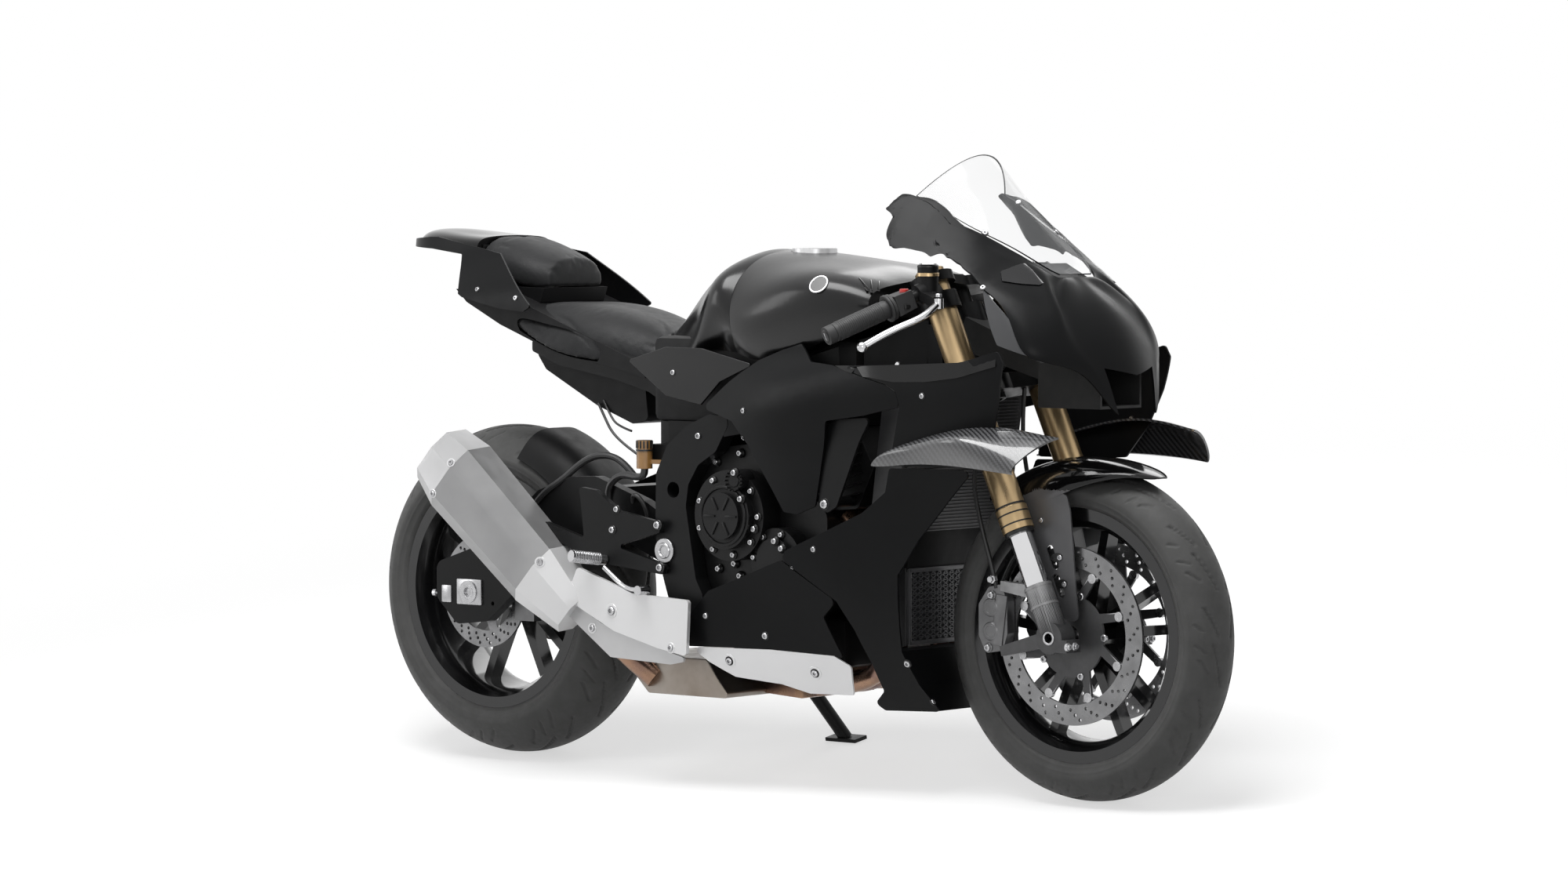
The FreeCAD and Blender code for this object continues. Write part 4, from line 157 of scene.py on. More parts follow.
# %% World
AMBIENT = 0.26
WHITE = (1, 1, 1, 1)
world = bpy.data.worlds.new("studio")
scene.world = world
nodes, links = tree_of(world)
plain = node_with(nodes, "ShaderNodeBackground", Color=WHITE, Strength=AMBIENT)
white = node_with(nodes, "ShaderNodeBackground", Color=WHITE, Strength=1.0)
either = either_of(nodes, links, seen_ray(nodes, links), plain, white)
links.new(either.outputs[0], nodes.new("ShaderNodeOutputWorld").inputs["Surface"])
print("world", AMBIENT, "white where it is seen")

# %% Floor
FLOOR_HALF = 14.0
SHADOW_REACH = 3.2
FADE_START = 0.45 * SHADOW_REACH
FLOOR_GREY = 0.48
FLOOR_GLOW = 0.60
bm = bmesh.new()
bmesh.ops.create_grid(bm, x_segments=1, y_segments=1, size=FLOOR_HALF)
floor_mesh = bpy.data.meshes.new("floor")
bm.to_mesh(floor_mesh)
bm.free()
floor = bpy.data.objects.new("floor", floor_mesh)
scene.collection.objects.link(floor)
paper = bpy.data.materials.new("studio_paper")
nodes, links = tree_of(paper)
matt = node_with(nodes, "ShaderNodeBsdfDiffuse", Color=(FLOOR_GREY, FLOOR_GREY, FLOOR_GREY, 1))
glow = node_with(nodes, "ShaderNodeEmission", Color=WHITE, Strength=FLOOR_GLOW)
lifted = nodes.new("ShaderNodeAddShader")
links.new(matt.outputs[0], lifted.inputs[0])
links.new(glow.outputs[0], lifted.inputs[1])
pure = node_with(nodes, "ShaderNodeEmission", Color=WHITE, Strength=1.0)
where = nodes.new("ShaderNodeTexCoord")
far = nodes.new("ShaderNodeVectorMath")
far.operation = "LENGTH"
links.new(where.outputs["Object"], far.inputs[0])
fade = node_with(nodes, "ShaderNodeMapRange", From_Min=FADE_START, From_Max=SHADOW_REACH)
fade.interpolation_type = "SMOOTHSTEP"
links.new(far.outputs["Value"], fade.inputs["Value"])
faded = either_of(nodes, links, fade.outputs["Result"], lifted, pure)
final = either_of(nodes, links, seen_ray(nodes, links), matt, faded)
links.new(final.outputs[0], nodes.new("ShaderNodeOutputMaterial").inputs["Surface"])
floor_mesh.materials.append(paper)
print("floor", 2 * FLOOR_HALF, "m wide, shadow fades out by", SHADOW_REACH, "m")


# %% Lamps
def softbox(name, place, aim, width, height, watts):
    """A rectangular studio lamp at a place in metres that faces another place."""
    lamp = bpy.data.lights.new(name, "AREA")
    lamp.shape = "RECTANGLE"
    lamp.size = width
    lamp.size_y = height
    lamp.energy = watts
    holder = bpy.data.objects.new(name, lamp)
    facing = (Vector(aim) - Vector(place)).to_track_quat("-Z", "Y")
    holder.matrix_world = Matrix.Translation(place) @ facing.to_matrix().to_4x4()
    scene.collection.objects.link(holder)


BIKE_MIDDLE = (0.0, 0.0, 0.5)
for name, place, aim, width, height, watts in (
        ("lamp_overhead", (0.1, -0.6, 3.2), (0.0, -0.1, 0.4), 2.6, 1.5, 118),
        ("lamp_camera_side", (3.6, -3.4, 2.2), (0.1, 0.0, 0.5), 1.4, 1.4, 26),
        ("lamp_rear_side", (-3.4, -2.4, 2.0), (-0.3, 0.0, 0.5), 1.2, 2.2, 22),
        ("lamp_behind", (-1.0, 3.6, 2.4), BIKE_MIDDLE, 2.4, 1.4, 26)):
    softbox(name, place, aim, width, height, watts)

# %% [markdown]
# Every finish is a Principled shader whose colour, roughness and bump vary a little, as paint, moulded
# plastic and cast metal do. A texture image could carry that, but noise in Object coordinates needs no
# unwrapping and never slides. A Mapping node of the Texture kind takes the coordinates back to the upright
# frame, so brushing and weave run along the bike and not along the leaning world.

# %% Finishes
def upright_coordinates(nodes, links, centre=(0, 0, 0)):
    """Object coordinates in the upright frame, in metres, from a centre given in millimetres."""
    where = nodes.new("ShaderNodeTexCoord")
    lay = nodes.new("ShaderNodeMapping")
    lay.vector_type = "TEXTURE"
    lay.inputs["Location"].default_value = BIKE @ Vector(centre)
    lay.inputs["Rotation"].default_value = (-LEAN, 0, 0)
    links.new(where.outputs["Object"], lay.inputs["Vector"])
    return lay.outputs["Vector"]


def noise(nodes, links, vector, scale, detail=3.0, stretch=None):
    """A noise value round one half, stretched along an axis where a stretch is given."""
    if stretch:
        lay = node_with(nodes, "ShaderNodeMapping", Scale=stretch)
        links.new(vector, lay.inputs["Vector"])
        vector = lay.outputs["Vector"]
    texture = node_with(nodes, "ShaderNodeTexNoise", Scale=scale, Detail=detail)
    links.new(vector, texture.inputs["Vector"])
    return texture.outputs["Fac"]


def ranged(nodes, links, value, low, high, start=0.3, end=0.7):
    """A value spread over a new range."""
    spread = node_with(nodes, "ShaderNodeMapRange", From_Min=start, From_Max=end, To_Min=low, To_Max=high)
    links.new(value, spread.inputs["Value"])
    return spread.outputs["Result"]


def blended(nodes, links, value, first, second):
    """A colour between two, by a value."""
    mix = nodes.new("ShaderNodeMix")
    mix.data_type = "RGBA"
    mix.inputs["A"].default_value = (*first, 1)
    mix.inputs["B"].default_value = (*second, 1)
    links.new(value, mix.inputs["Factor"])
    return mix.outputs["Result"]


LACQUER_ROUGHNESS = 0.06
GRAIN_STRENGTH = 0.6
DARKER = 0.72


def finish(name, colour, rough, metal=0.0, coat=0.0, second=None, patch=9.0, spread=0.05, grain=900.0,
           bump=0.00004, stretch=None, centre=(0, 0, 0), sheen=0.0, specular=0.5):
    """A varied paint, plastic, rubber or metal: patches of colour, uneven gloss and a fine grain."""
    material = bpy.data.materials.new(name)
    nodes, links = tree_of(material)
    shader = node_with(nodes, "ShaderNodeBsdfPrincipled", Metallic=metal, Coat_Weight=coat,
                       Coat_Roughness=LACQUER_ROUGHNESS, Sheen_Weight=sheen, Specular_IOR_Level=specular)
    links.new(shader.outputs[0], nodes.new("ShaderNodeOutputMaterial").inputs["Surface"])
    place = upright_coordinates(nodes, links, centre)
    second = second or tuple(c * DARKER for c in colour)
    cloud = noise(nodes, links, place, patch, 4.0)
    links.new(blended(nodes, links, ranged(nodes, links, cloud, 0, 1), colour, second),
              shader.inputs["Base Color"])
    smear = noise(nodes, links, place, patch * 4, 5.0, stretch)
    links.new(ranged(nodes, links, smear, max(0.02, rough - spread), rough + spread),
              shader.inputs["Roughness"])
    fine = noise(nodes, links, place, grain, 2.0, stretch)
    raised = node_with(nodes, "ShaderNodeBump", Distance=bump, Strength=GRAIN_STRENGTH)
    links.new(fine, raised.inputs["Height"])
    links.new(raised.outputs["Normal"], shader.inputs["Normal"])
    return material


MATTE_BODY = finish("matte_body_paint", (0.0045, 0.0047, 0.0051), 0.33, grain=2200, spread=0.03,
                    bump=0.00002, specular=0.10)
SATIN_BODY = finish("satin_tank_paint", (0.0036, 0.0036, 0.0039), 0.24, coat=0.05, specular=0.35,
                    spread=0.02, patch=4, bump=0.000008)
GLOSS_BODY = finish("gloss_black_paint", (0.003, 0.003, 0.0032), 0.09, coat=0.04, specular=0.3,
                    spread=0.02, patch=4, bump=0.000004)
PANEL_GREY = finish("pale_matte_panel", (0.05, 0.051, 0.054), 0.45, spread=0.05)
PLATE_GREY = finish("satin_side_plate", (0.10, 0.10, 0.104), 0.36, metal=0.3)
FRAME_PAINT = finish("frame_paint", (0.0065, 0.0066, 0.0069), 0.36, patch=14, bump=0.00008,
                     specular=0.15)
ENGINE_PAINT = finish("engine_paint", (0.0065, 0.0065, 0.0068), 0.38, patch=20, grain=500, bump=0.00015,
                      specular=0.2)
INNER_PLASTIC = finish("inner_plastic", (0.007, 0.007, 0.0073), 0.5, grain=1400, bump=0.0001,
                       specular=0.15)
RUBBER = finish("tyre_rubber", (0.075, 0.075, 0.074), 0.58, second=(0.06, 0.06, 0.059), patch=30,
                grain=700, bump=0.00018, specular=0.25)
SOFT_RUBBER = finish("grip_rubber", (0.014, 0.014, 0.0145), 0.6, grain=900, bump=0.00012)
RIM_PAINT = finish("rim_paint", (0.006, 0.006, 0.0065), 0.16, coat=0.25, spread=0.03)
GOLD = finish("gold_anodised_tube", (0.55, 0.40, 0.22), 0.32, metal=0.85, second=(0.46, 0.33, 0.18),
              stretch=(1, 1, 0.1), spread=0.06)
CHROME = finish("chrome_tube", (0.72, 0.72, 0.73), 0.05, metal=1.0, second=(0.66, 0.66, 0.67), spread=0.02)
CAST_GREY = finish("cast_grey_foot", (0.34, 0.34, 0.345), 0.40, metal=0.5, patch=40, bump=0.0001)
CAST_DARK = finish("cast_dark_foot", (0.07, 0.07, 0.072), 0.40, metal=0.4, patch=40, bump=0.0001)
CALIPER = finish("caliper_silver", (0.17, 0.17, 0.173), 0.34, metal=0.6, patch=30, bump=0.0001)
BOLT_STEEL = finish("bolt_steel", (0.50, 0.50, 0.51), 0.28, metal=1.0, patch=60)
BOLT_BLACK = finish("black_bolt", (0.03, 0.03, 0.03), 0.32, metal=0.6, patch=60)
SILVER_COVER = finish("silver_cover", (0.70, 0.70, 0.705), 0.30, metal=0.45, second=(0.67, 0.67, 0.675),
                      patch=5, stretch=(0.15, 1, 1), spread=0.015)
SILENCER_SKIN = finish("silencer_skin", (0.34, 0.34, 0.343), 0.34, metal=0.7, second=(0.29, 0.29, 0.293),
                       patch=10, stretch=(0.2, 1, 1))
SILENCER_CAP = finish("silencer_cap", (0.56, 0.56, 0.565), 0.33, metal=0.5, patch=5, spread=0.015)
BOX_STEEL = finish("exhaust_box_steel", (0.30, 0.27, 0.24), 0.36, metal=0.95, second=(0.20, 0.165, 0.135),
                   patch=11, spread=0.08)
HEADER_BRONZE = finish("heated_header", (0.33, 0.20, 0.12), 0.30, metal=1.0, second=(0.13, 0.085, 0.09),
                       patch=14, spread=0.08)
POLISHED = finish("polished_lever", (0.62, 0.62, 0.63), 0.16, metal=1.0, spread=0.04)
HOSE_RUBBER = finish("hose_cover", (0.012, 0.012, 0.0125), 0.45, grain=1500, bump=0.0001)
AMBER = finish("amber_cup", (0.30, 0.16, 0.05), 0.22, second=(0.20, 0.10, 0.03), patch=25, coat=0.4)
RED_SWITCH = finish("red_switch", (0.45, 0.02, 0.015), 0.35, patch=40)
# Painted shade: an opaque dark colour for the screen's clear cut edge, which only looks dark under light.
SCREEN_EDGE_SHADE = finish("screen_edge_painted_shade", (0.012, 0.013, 0.014), 0.25, coat=0.3)
DARK_CORE = finish("dark_core", (0.005, 0.005, 0.005), 0.7, bump=0.0002)
RADIATOR_BLACK = finish("radiator_black", (0.014, 0.014, 0.015), 0.45, patch=30, bump=0.0001)
VINYL = finish("seat_vinyl", (0.013, 0.0133, 0.014), 0.50, grain=420, bump=0.00035, sheen=0.1, patch=16,
               specular=0.15)
print("finishes", len(bpy.data.materials))

# %% [markdown]
# Some finishes need their own pattern: a brake disc is brushed in rings round its axle, the winglets are a
# carbon twill under lacquer, the screen is clear and the marker lamp is smoked. A disc's rings come from
# the distance to the axle, and a twill from whole-number steps of two crossing sets of threads.

# %% Brushed disc
RINGS_PER_METRE = 900
RING_DEPTH = 0.00008
DISC_COLOUR = (0.26, 0.26, 0.264)


def ring_brushed(name, colour, centre):
    """Steel brushed in rings round a wheel's axle."""
    material = finish(name, colour, 0.30, metal=0.9, patch=30, spread=0.05)
    nodes, links = material.node_tree.nodes, material.node_tree.links
    shader = next(n for n in nodes if n.bl_idname == "ShaderNodeBsdfPrincipled")
    place = upright_coordinates(nodes, links, centre)
    flat = nodes.new("ShaderNodeVectorMath")
    flat.operation = "MULTIPLY"
    flat.inputs[1].default_value = (1, 0, 1)
    links.new(place, flat.inputs[0])
    reach = nodes.new("ShaderNodeVectorMath")
    reach.operation = "LENGTH"
    links.new(flat.outputs["Vector"], reach.inputs[0])
    rings = node_with(nodes, "ShaderNodeTexNoise", Scale=RINGS_PER_METRE)
    rings.noise_dimensions = "1D"
    links.new(reach.outputs["Value"], rings.inputs["W"])
    raised = node_with(nodes, "ShaderNodeBump", Distance=RING_DEPTH)
    links.new(rings.outputs["Fac"], raised.inputs["Height"])
    links.new(raised.outputs["Normal"], shader.inputs["Normal"])
    return material


FRONT_DISC_STEEL = ring_brushed("front_disc_steel", DISC_COLOUR, FRONT_AXLE)
REAR_DISC_STEEL = ring_brushed("rear_disc_steel", DISC_COLOUR, REAR_AXLE)


# %% Carbon twill
THREAD = 0.0030
DARK_THREAD, PALE_THREAD = (0.010, 0.010, 0.011), (0.075, 0.076, 0.080)


def carbon(name, thread):
    """A two-by-two twill of flat threads, each thread's width given in metres, under clear lacquer."""
    material = bpy.data.materials.new(name)
    nodes, links = tree_of(material)
    shader = node_with(nodes, "ShaderNodeBsdfPrincipled", Coat_Weight=0.8, Coat_Roughness=0.05)
    links.new(shader.outputs[0], nodes.new("ShaderNodeOutputMaterial").inputs["Surface"])
    apart = nodes.new("ShaderNodeSeparateXYZ")
    links.new(upright_coordinates(nodes, links), apart.inputs[0])
    over = math_node(nodes, links, "ADD", apart.outputs["Y"], apart.outputs["Z"])
    along = math_node(nodes, links, "FLOOR", math_node(nodes, links, "DIVIDE", apart.outputs["X"], thread))
    across = math_node(nodes, links, "FLOOR", math_node(nodes, links, "DIVIDE", over, thread))
    step = math_node(nodes, links, "ADD", along, across)
    phase = math_node(nodes, links, "FLOORED_MODULO", step, 4.0)
    warp = math_node(nodes, links, "LESS_THAN", phase, 1.5)
    links.new(blended(nodes, links, warp, DARK_THREAD, PALE_THREAD),
              shader.inputs["Base Color"])
    links.new(ranged(nodes, links, warp, 0.32, 0.46, 0, 1), shader.inputs["Roughness"])
    return material


CARBON = carbon("carbon_twill", THREAD)


# %% Clear screen and smoked lamp
def clear(name, colour, rough, cover):
    """A clear or smoked plastic: a thin gloss skin that covers a small share of what is behind it."""
    material = bpy.data.materials.new(name)
    nodes, links = tree_of(material)
    shader = node_with(nodes, "ShaderNodeBsdfPrincipled", Base_Color=(*colour, 1), Alpha=cover)
    links.new(shader.outputs[0], nodes.new("ShaderNodeOutputMaterial").inputs["Surface"])
    smear = noise(nodes, links, upright_coordinates(nodes, links), 20, 4)
    links.new(ranged(nodes, links, smear, max(0.0, rough - 0.01), rough + 0.01), shader.inputs["Roughness"])
    return material


CLEAR_SCREEN = clear("clear_screen_plastic", (0.42, 0.43, 0.44), 0.03, 0.09)
SMOKED_LAMP = clear("smoked_lamp_lens", (0.008, 0.008, 0.009), 0.05, 0.93)
print("finishes", len(bpy.data.materials))

# %% [markdown]
# A frame node is loose triangles with one finish, so its edges look razor sharp. A copy can be merged, its
# flat faces joined, and its edges rounded by a Bevel modifier, and then it can carry several finishes. The
# copy stands for the node, which stays hidden for collisions. Faces choose their finish by where they are.

# %% Copies of the frame's parts
MERGE = 0.00001


def part_copy(node):
    """A merged copy of a frame node's mesh, in metres in the leaned frame."""
    bm = bmesh.new()
    bm.from_mesh(frame["nodes"][node].data)
    bmesh.ops.remove_doubles(bm, verts=bm.verts, dist=MERGE)
    return bm


def joined_faces(bm, joins):
    """Lists of faces that hang together across the edges that a test lets through."""
    left = set(bm.faces)
    groups = []
    while left:
        seed = left.pop()
        group, stack = [seed], [seed]
        while stack:
            for edge in stack.pop().edges:
                near = [face for face in edge.link_faces if face in left] if joins(edge) else []
                left.difference_update(near)
                group += near
                stack += near
        groups.append(group)
    return groups


def islands(bm):
    """Lists of faces that make one closed body each."""
    return joined_faces(bm, lambda edge: True)


def middle(faces):
    """The middle of some faces' box, upright and in millimetres."""
    points = [UPRIGHT @ vert.co for face in faces for vert in face.verts]
    low = Vector(min(p[i] for p in points) for i in range(3))
    high = Vector(max(p[i] for p in points) for i in range(3))
    return (low + high) / 2, high - low


def set_edges(bm, angle):
    """Smooth faces, and sharp edges where two faces turn by more than an angle."""
    for face in bm.faces:
        face.smooth = True
    for edge in bm.edges:
        edge.smooth = edge.is_manifold and edge.calc_face_angle(0.0) < angle


def placed(name, bm, body, finishes, angle):
    """Makes an object of a mesh in metres, and gives it finishes and a body."""
    set_edges(bm, angle)
    mesh = bpy.data.meshes.new(name)
    bm.to_mesh(mesh)
    bm.free()
    for material in finishes:
        mesh.materials.append(material)
    piece = bpy.data.objects.new(name, mesh)
    scene.collection.objects.link(piece)
    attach(piece, body)
    return piece


FLAT_TURN = math.radians(0.4)


def dress(node, finishes, choose=None, bevel=0.0, angle=32, reshape=None):
    """A finished copy of a node stands for it; choose names a finish from a face's and island's middle."""
    bm = part_copy(node)
    if reshape:
        bm.normal_update()
        facings = [UPRIGHT.to_3x3() @ vert.normal for vert in bm.verts]
        for vert, facing in zip(bm.verts, facings):
            vert.co = BIKE @ reshape(UPRIGHT @ vert.co, facing)
    groups = islands(bm)
    if choose:
        for group in groups:
            centre, size = middle(group)
            for face in group:
                face.material_index = choose(UPRIGHT @ face.calc_center_median(), centre, size)
    if bevel:
        bmesh.ops.dissolve_limit(bm, angle_limit=FLAT_TURN, verts=bm.verts, edges=bm.edges,
                                 delimit={"MATERIAL"})
    body = frame["nodes"][node]["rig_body"]
    piece = placed("dressed_" + node, bm, body, finishes, math.radians(angle))
    if bevel:
        round_off = piece.modifiers.new("round", "BEVEL")
        round_off.width = bevel * MM
        round_off.segments = 2
        round_off.limit_method = "ANGLE"
        round_off.angle_limit = math.radians(angle)
        even = piece.modifiers.new("even", "WEIGHTED_NORMAL")
        even.keep_sharp = True
    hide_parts(node)
    print(node, "islands", len(groups), "faces", len(piece.data.polygons))
    return piece


# %% [markdown]
# Most of the bike's skins and castings now get their finish. A lever, a strip or a cap that belongs to a
# larger node is picked out by the middle of its island, and a face of a casting by its own middle.

# %% Body panels
def second_where(test):
    """A chooser that gives the second finish where a test on a face holds, and the first elsewhere."""
    return lambda face, centre, size: 1 if test(face, centre, size) else 0


STRIP_HEIGHT = 235
BRACKET_SIZE = 130
COWL_STATIONS = (1070, 1085, 1100, 1130, 1160, 1190, 1220, 1250, 1280, 1310)
STATION_HALF = 8
CHEEK = 60
REAR_CORNER = 1085
REAR_HALF = 142
FRONT_BLEND = 75
WALL = 4
LOWER_LINE = ((1086, 1013), (1099, 997), (1171, 976), (1243, 958), (1314, 929))


def height_on(corners, x):
    """The height at x of a line through (x, z) corners."""
    for (x0, z0), (x1, z1) in zip(corners, corners[1:]):
        if x <= x1:
            return z0 + (z1 - z0) * (x - x0) / (x1 - x0)
    return corners[-1][1]


def cowl_edges():
    """At each station the cowl's lowest and highest place, and the lift that brings it to the seen line."""
    points = [UPRIGHT @ vert.co for vert in frame["nodes"]["nose_cowl"].data.vertices]
    rows = []
    for x in COWL_STATIONS:
        near = [point.z for point in points if abs(point.x - x) < STATION_HALF and point.y < -CHEEK]
        at_end = x in (COWL_STATIONS[0], COWL_STATIONS[-1])
        rows.append((x, min(near), max(near), 0 if at_end else height_on(LOWER_LINE, x) - min(near)))
    return rows


COWL_EDGE = cowl_edges()
print("cowl edge", [tuple(round(v) for v in row) for row in COWL_EDGE])


def truer_cowl(place, facing):
    """Lifts the cowl's rear corner and fills the arch before it, so its lower edge runs straight."""
    if abs(place.y) < CHEEK or not COWL_EDGE[0][0] < place.x < COWL_EDGE[-1][0]:
        return place
    for (x0, low0, top0, lift0), (x1, low1, top1, lift1) in zip(COWL_EDGE, COWL_EDGE[1:]):
        if x0 <= place.x <= x1:
            t = (place.x - x0) / (x1 - x0)
            low, top, lift = low0 + t * (low1 - low0), top0 + t * (top1 - top0), lift0 + t * (lift1 - lift0)
            down = min(1.0, max(0.0, (top - place.z) / (top - low)))
            near = min(1.0, (COWL_EDGE[-1][0] - place.x) / FRONT_BLEND)
            forward = place.x - REAR_CORNER
            rule = REAR_HALF - 0.20 * forward + (64 + 0.12 * forward) * down ** 0.85
            inside = 0 if facing.y * place.y > 0 else WALL
            out = abs(place.y) + (rule - inside - abs(place.y)) * near
            return Vector((place.x, math.copysign(out, place.y), place.z + lift * down))
    return place


dress("nose_cowl", [MATTE_BODY], reshape=truer_cowl)
dress("nose_side_panels", [PANEL_GREY], bevel=0.8)
dress("nose_duct", [DARK_CORE])
dress("marker_lamps", [SMOKED_LAMP], bevel=0.6)
dress("upper_fairings", [MATTE_BODY, FRAME_PAINT],
      second_where(lambda face, centre, size: size.x < BRACKET_SIZE), bevel=0.7)
dress("lower_fairings", [MATTE_BODY], bevel=0.7)
dress("belly_pans", [MATTE_BODY, SILVER_COVER],
      second_where(lambda face, centre, size: centre.z < STRIP_HEIGHT), bevel=0.7)
dress("side_covers", [SATIN_BODY], bevel=1.0)
dress("fuel_tank", [SATIN_BODY])
dress("tank_cover", [SATIN_BODY], angle=14)
dress("tail_top", [GLOSS_BODY])
dress("tail_panels", [MATTE_BODY], bevel=0.8)
dress("tail_base", [INNER_PLASTIC], bevel=0.8)
dress("undertray", [INNER_PLASTIC], bevel=0.8)
dress("winglets", [CARBON])
dress("rear_hugger", [INNER_PLASTIC])
dress("instrument_panel", [INNER_PLASTIC], bevel=1.5)

# %% Fender with its paler side plates
PLATE_OUT, PLATE_TOP = 73.2, 560
dress("front_fender", [GLOSS_BODY, PLATE_GREY],
      second_where(lambda face, centre, size: abs(face.y) > PLATE_OUT and face.z < PLATE_TOP))

# %% Frame, swingarm and engine
for node, paint, edge in (
        ("main_frame", FRAME_PAINT, 1.6), ("swingarm", FRAME_PAINT, 1.6), ("subframe", FRAME_PAINT, 1.2),
        ("side_stand", FRAME_PAINT, 1.0), ("engine_block", ENGINE_PAINT, 2.0),
        ("engine_covers", ENGINE_PAINT, 2.0), ("radiators", RADIATOR_BLACK, 0.8),
        ("shock_absorber", FRAME_PAINT, 0.8), ("triple_clamps", FRAME_PAINT, 1.5),
        ("handlebars", FRAME_PAINT, 0.8), ("swingarm_pivot", BOLT_STEEL, 0.8),
        ("front_axle", BOLT_STEEL, 0.8), ("rear_axle", BOLT_STEEL, 0.8)):
    dress(node, [paint], bevel=edge)

# %% Exhaust
CAP_SIZE = 170
INSERT_WIDTH, INSERT_TOP = 10, 300
dress("silencer", [SILENCER_SKIN, SILENCER_CAP],
      second_where(lambda face, centre, size: size.x < CAP_SIZE))
dress("heat_shields", [SILVER_COVER, SILENCER_CAP],
      second_where(lambda face, centre, size: size.y < INSERT_WIDTH and centre.z < INSERT_TOP),
      bevel=0.8)
dress("exhaust_box", [BOX_STEEL], bevel=2.0)
dress("exhaust_pipes", [HEADER_BRONZE])

# %% Fork, brakes and wheels
dress("fork_tubes", [GOLD], bevel=0.6)
dress("fork_stanchions", [CHROME])
FOOT_SLEEVE = 350
dress("fork_feet", [CAST_DARK, CAST_GREY],
      second_where(lambda face, centre, size: face.z > FOOT_SLEEVE), bevel=1.0)
dress("front_calipers", [CALIPER], bevel=2.0)
CALIPER_FRONT = 200
CUP_LOW, CUP_TOP = 574, 612


def rear_brake_part(face, centre, size):
    """The caliper, the amber fluid in its cup, or the cup's lid and foot."""
    if centre.x < CALIPER_FRONT:
        return 0
    return 1 if CUP_LOW <= face.z <= CUP_TOP else 2


dress("rear_brake", [CALIPER, AMBER, INNER_PLASTIC], rear_brake_part, bevel=0.8)
CARRIER_EDGE = 104
BOBBIN_EDGE = 121


def disc_part(face, centre, size):
    """The brushed ring, the dark carrier or a silver bobbin, by the distance to the axle."""
    reach = math.hypot(face.x - FRONT_AXLE.x, face.z - FRONT_AXLE.z)
    if reach > BOBBIN_EDGE:
        return 0
    return 2 if reach > CARRIER_EDGE else 1


dress("front_discs", [FRONT_DISC_STEEL, CAST_DARK, BOLT_STEEL], disc_part)
dress("rear_disc", [REAR_DISC_STEEL])
dress("rear_sprocket", [BOLT_STEEL], bevel=0.4)
dress("front_rim", [RIM_PAINT])
dress("rear_rim", [RIM_PAINT])

# %% Hand controls, bars, pegs and cap
dress("grips", [SOFT_RUBBER], bevel=0.8)
LEVER_FRONT, LEVER_SIZE = 1120, 120
dress("hand_controls", [INNER_PLASTIC, POLISHED],
      second_where(lambda face, centre, size: centre.x > LEVER_FRONT and max(size) > LEVER_SIZE), bevel=0.8)
dress("front_hoses", [HOSE_RUBBER])
PEG_ROOT = 200
dress("footrests", [FRAME_PAINT, POLISHED],
      second_where(lambda face, centre, size: abs(face.y) > PEG_ROOT), bevel=0.8)
CAP_X, CAP_LID = 756, 36
dress("fuel_cap", [BOLT_BLACK, SILVER_COVER],
      second_where(lambda face, centre, size: math.hypot(face.x - CAP_X, face.y) > CAP_LID), bevel=0.8)


# %% [markdown]
# The screen is one clear sheet. Its cut edge looks dark and reads as a crisp line, so
# the faces of the rim, which lie between the two large smooth skins, get a dark colour of their own: painted
# shade that stands for the darkness a clear edge shows.

# %% Windscreen
def rim_faces(bm, turn_angle):
    """Faces outside the two largest smooth regions."""
    regions = joined_faces(bm, lambda edge: edge.calc_face_angle(0.0) <= turn_angle)
    regions.sort(key=lambda region: -sum(face.calc_area() for face in region))
    return [face for region in regions[2:] for face in region]


SCREEN_TURN = math.radians(40)
bm = part_copy("windscreen")
rim = rim_faces(bm, SCREEN_TURN)
# The rim faces take the painted shade that stands for the dark look of the clear edge.
for face in rim:
    face.material_index = 1
print("screen rim faces", len(rim))
screen = placed("dressed_windscreen", bm, frame["nodes"]["windscreen"]["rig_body"],
                [CLEAR_SCREEN, SCREEN_EDGE_SHADE], SCREEN_TURN)
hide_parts("windscreen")
print("screen faces", len(screen.data.polygons))

# %% [markdown]
# A tyre's tread is grooves cut into a round. They could be a bump texture, but then the outline stays
# smooth and the grooves vanish at the edge. The section is spun in fine steps instead, and points that
# lie in a groove are sunk. Each groove is a short line on the unrolled tread, repeated round the wheel.

# %% Tyres
TREAD_PITCHES = 11
SPIN_STEPS = 840
RIM_EDGE, BEAD_SEAT, BEAD_IN = 229.1, 216.1, 5.3
WALL_RIBS = ((0.2, 0), (0.32, 0), (0.36, 0.48), (0.42, 0.48), (0.46, 0), (0.7, 0), (0.74, 0.42),
             (0.80, 0.42), (0.84, 0), (1.0, 0))


def tyre_outline(crown_centre, crown, half, rim_half, points):
    """The tyre's closed section as (radius, across) pairs, from bead to bead and back under the rim."""
    shoulder = math.asin((half - 1) / crown)
    tread = []
    for i in range(points + 1):
        t = shoulder * (2 * i / points - 1)
        tread.append((crown_centre + crown * math.cos(t), crown * math.sin(t)))
    edge_radius, edge = tread[-1]
    wall = []
    for share, lift in WALL_RIBS:
        radius = edge_radius + (RIM_EDGE - edge_radius) * share
        rest = 1 - share
        bulge = rest * rest * edge + 2 * share * rest * (edge - 0.6) + share ** 2 * rim_half
        wall.append((radius, bulge + lift))
    bead = [(RIM_EDGE - 0.3, rim_half - BEAD_IN), (BEAD_SEAT, rim_half - BEAD_IN)]
    side = wall + bead
    return [(r, -y) for r, y in reversed(side)] + tread + side


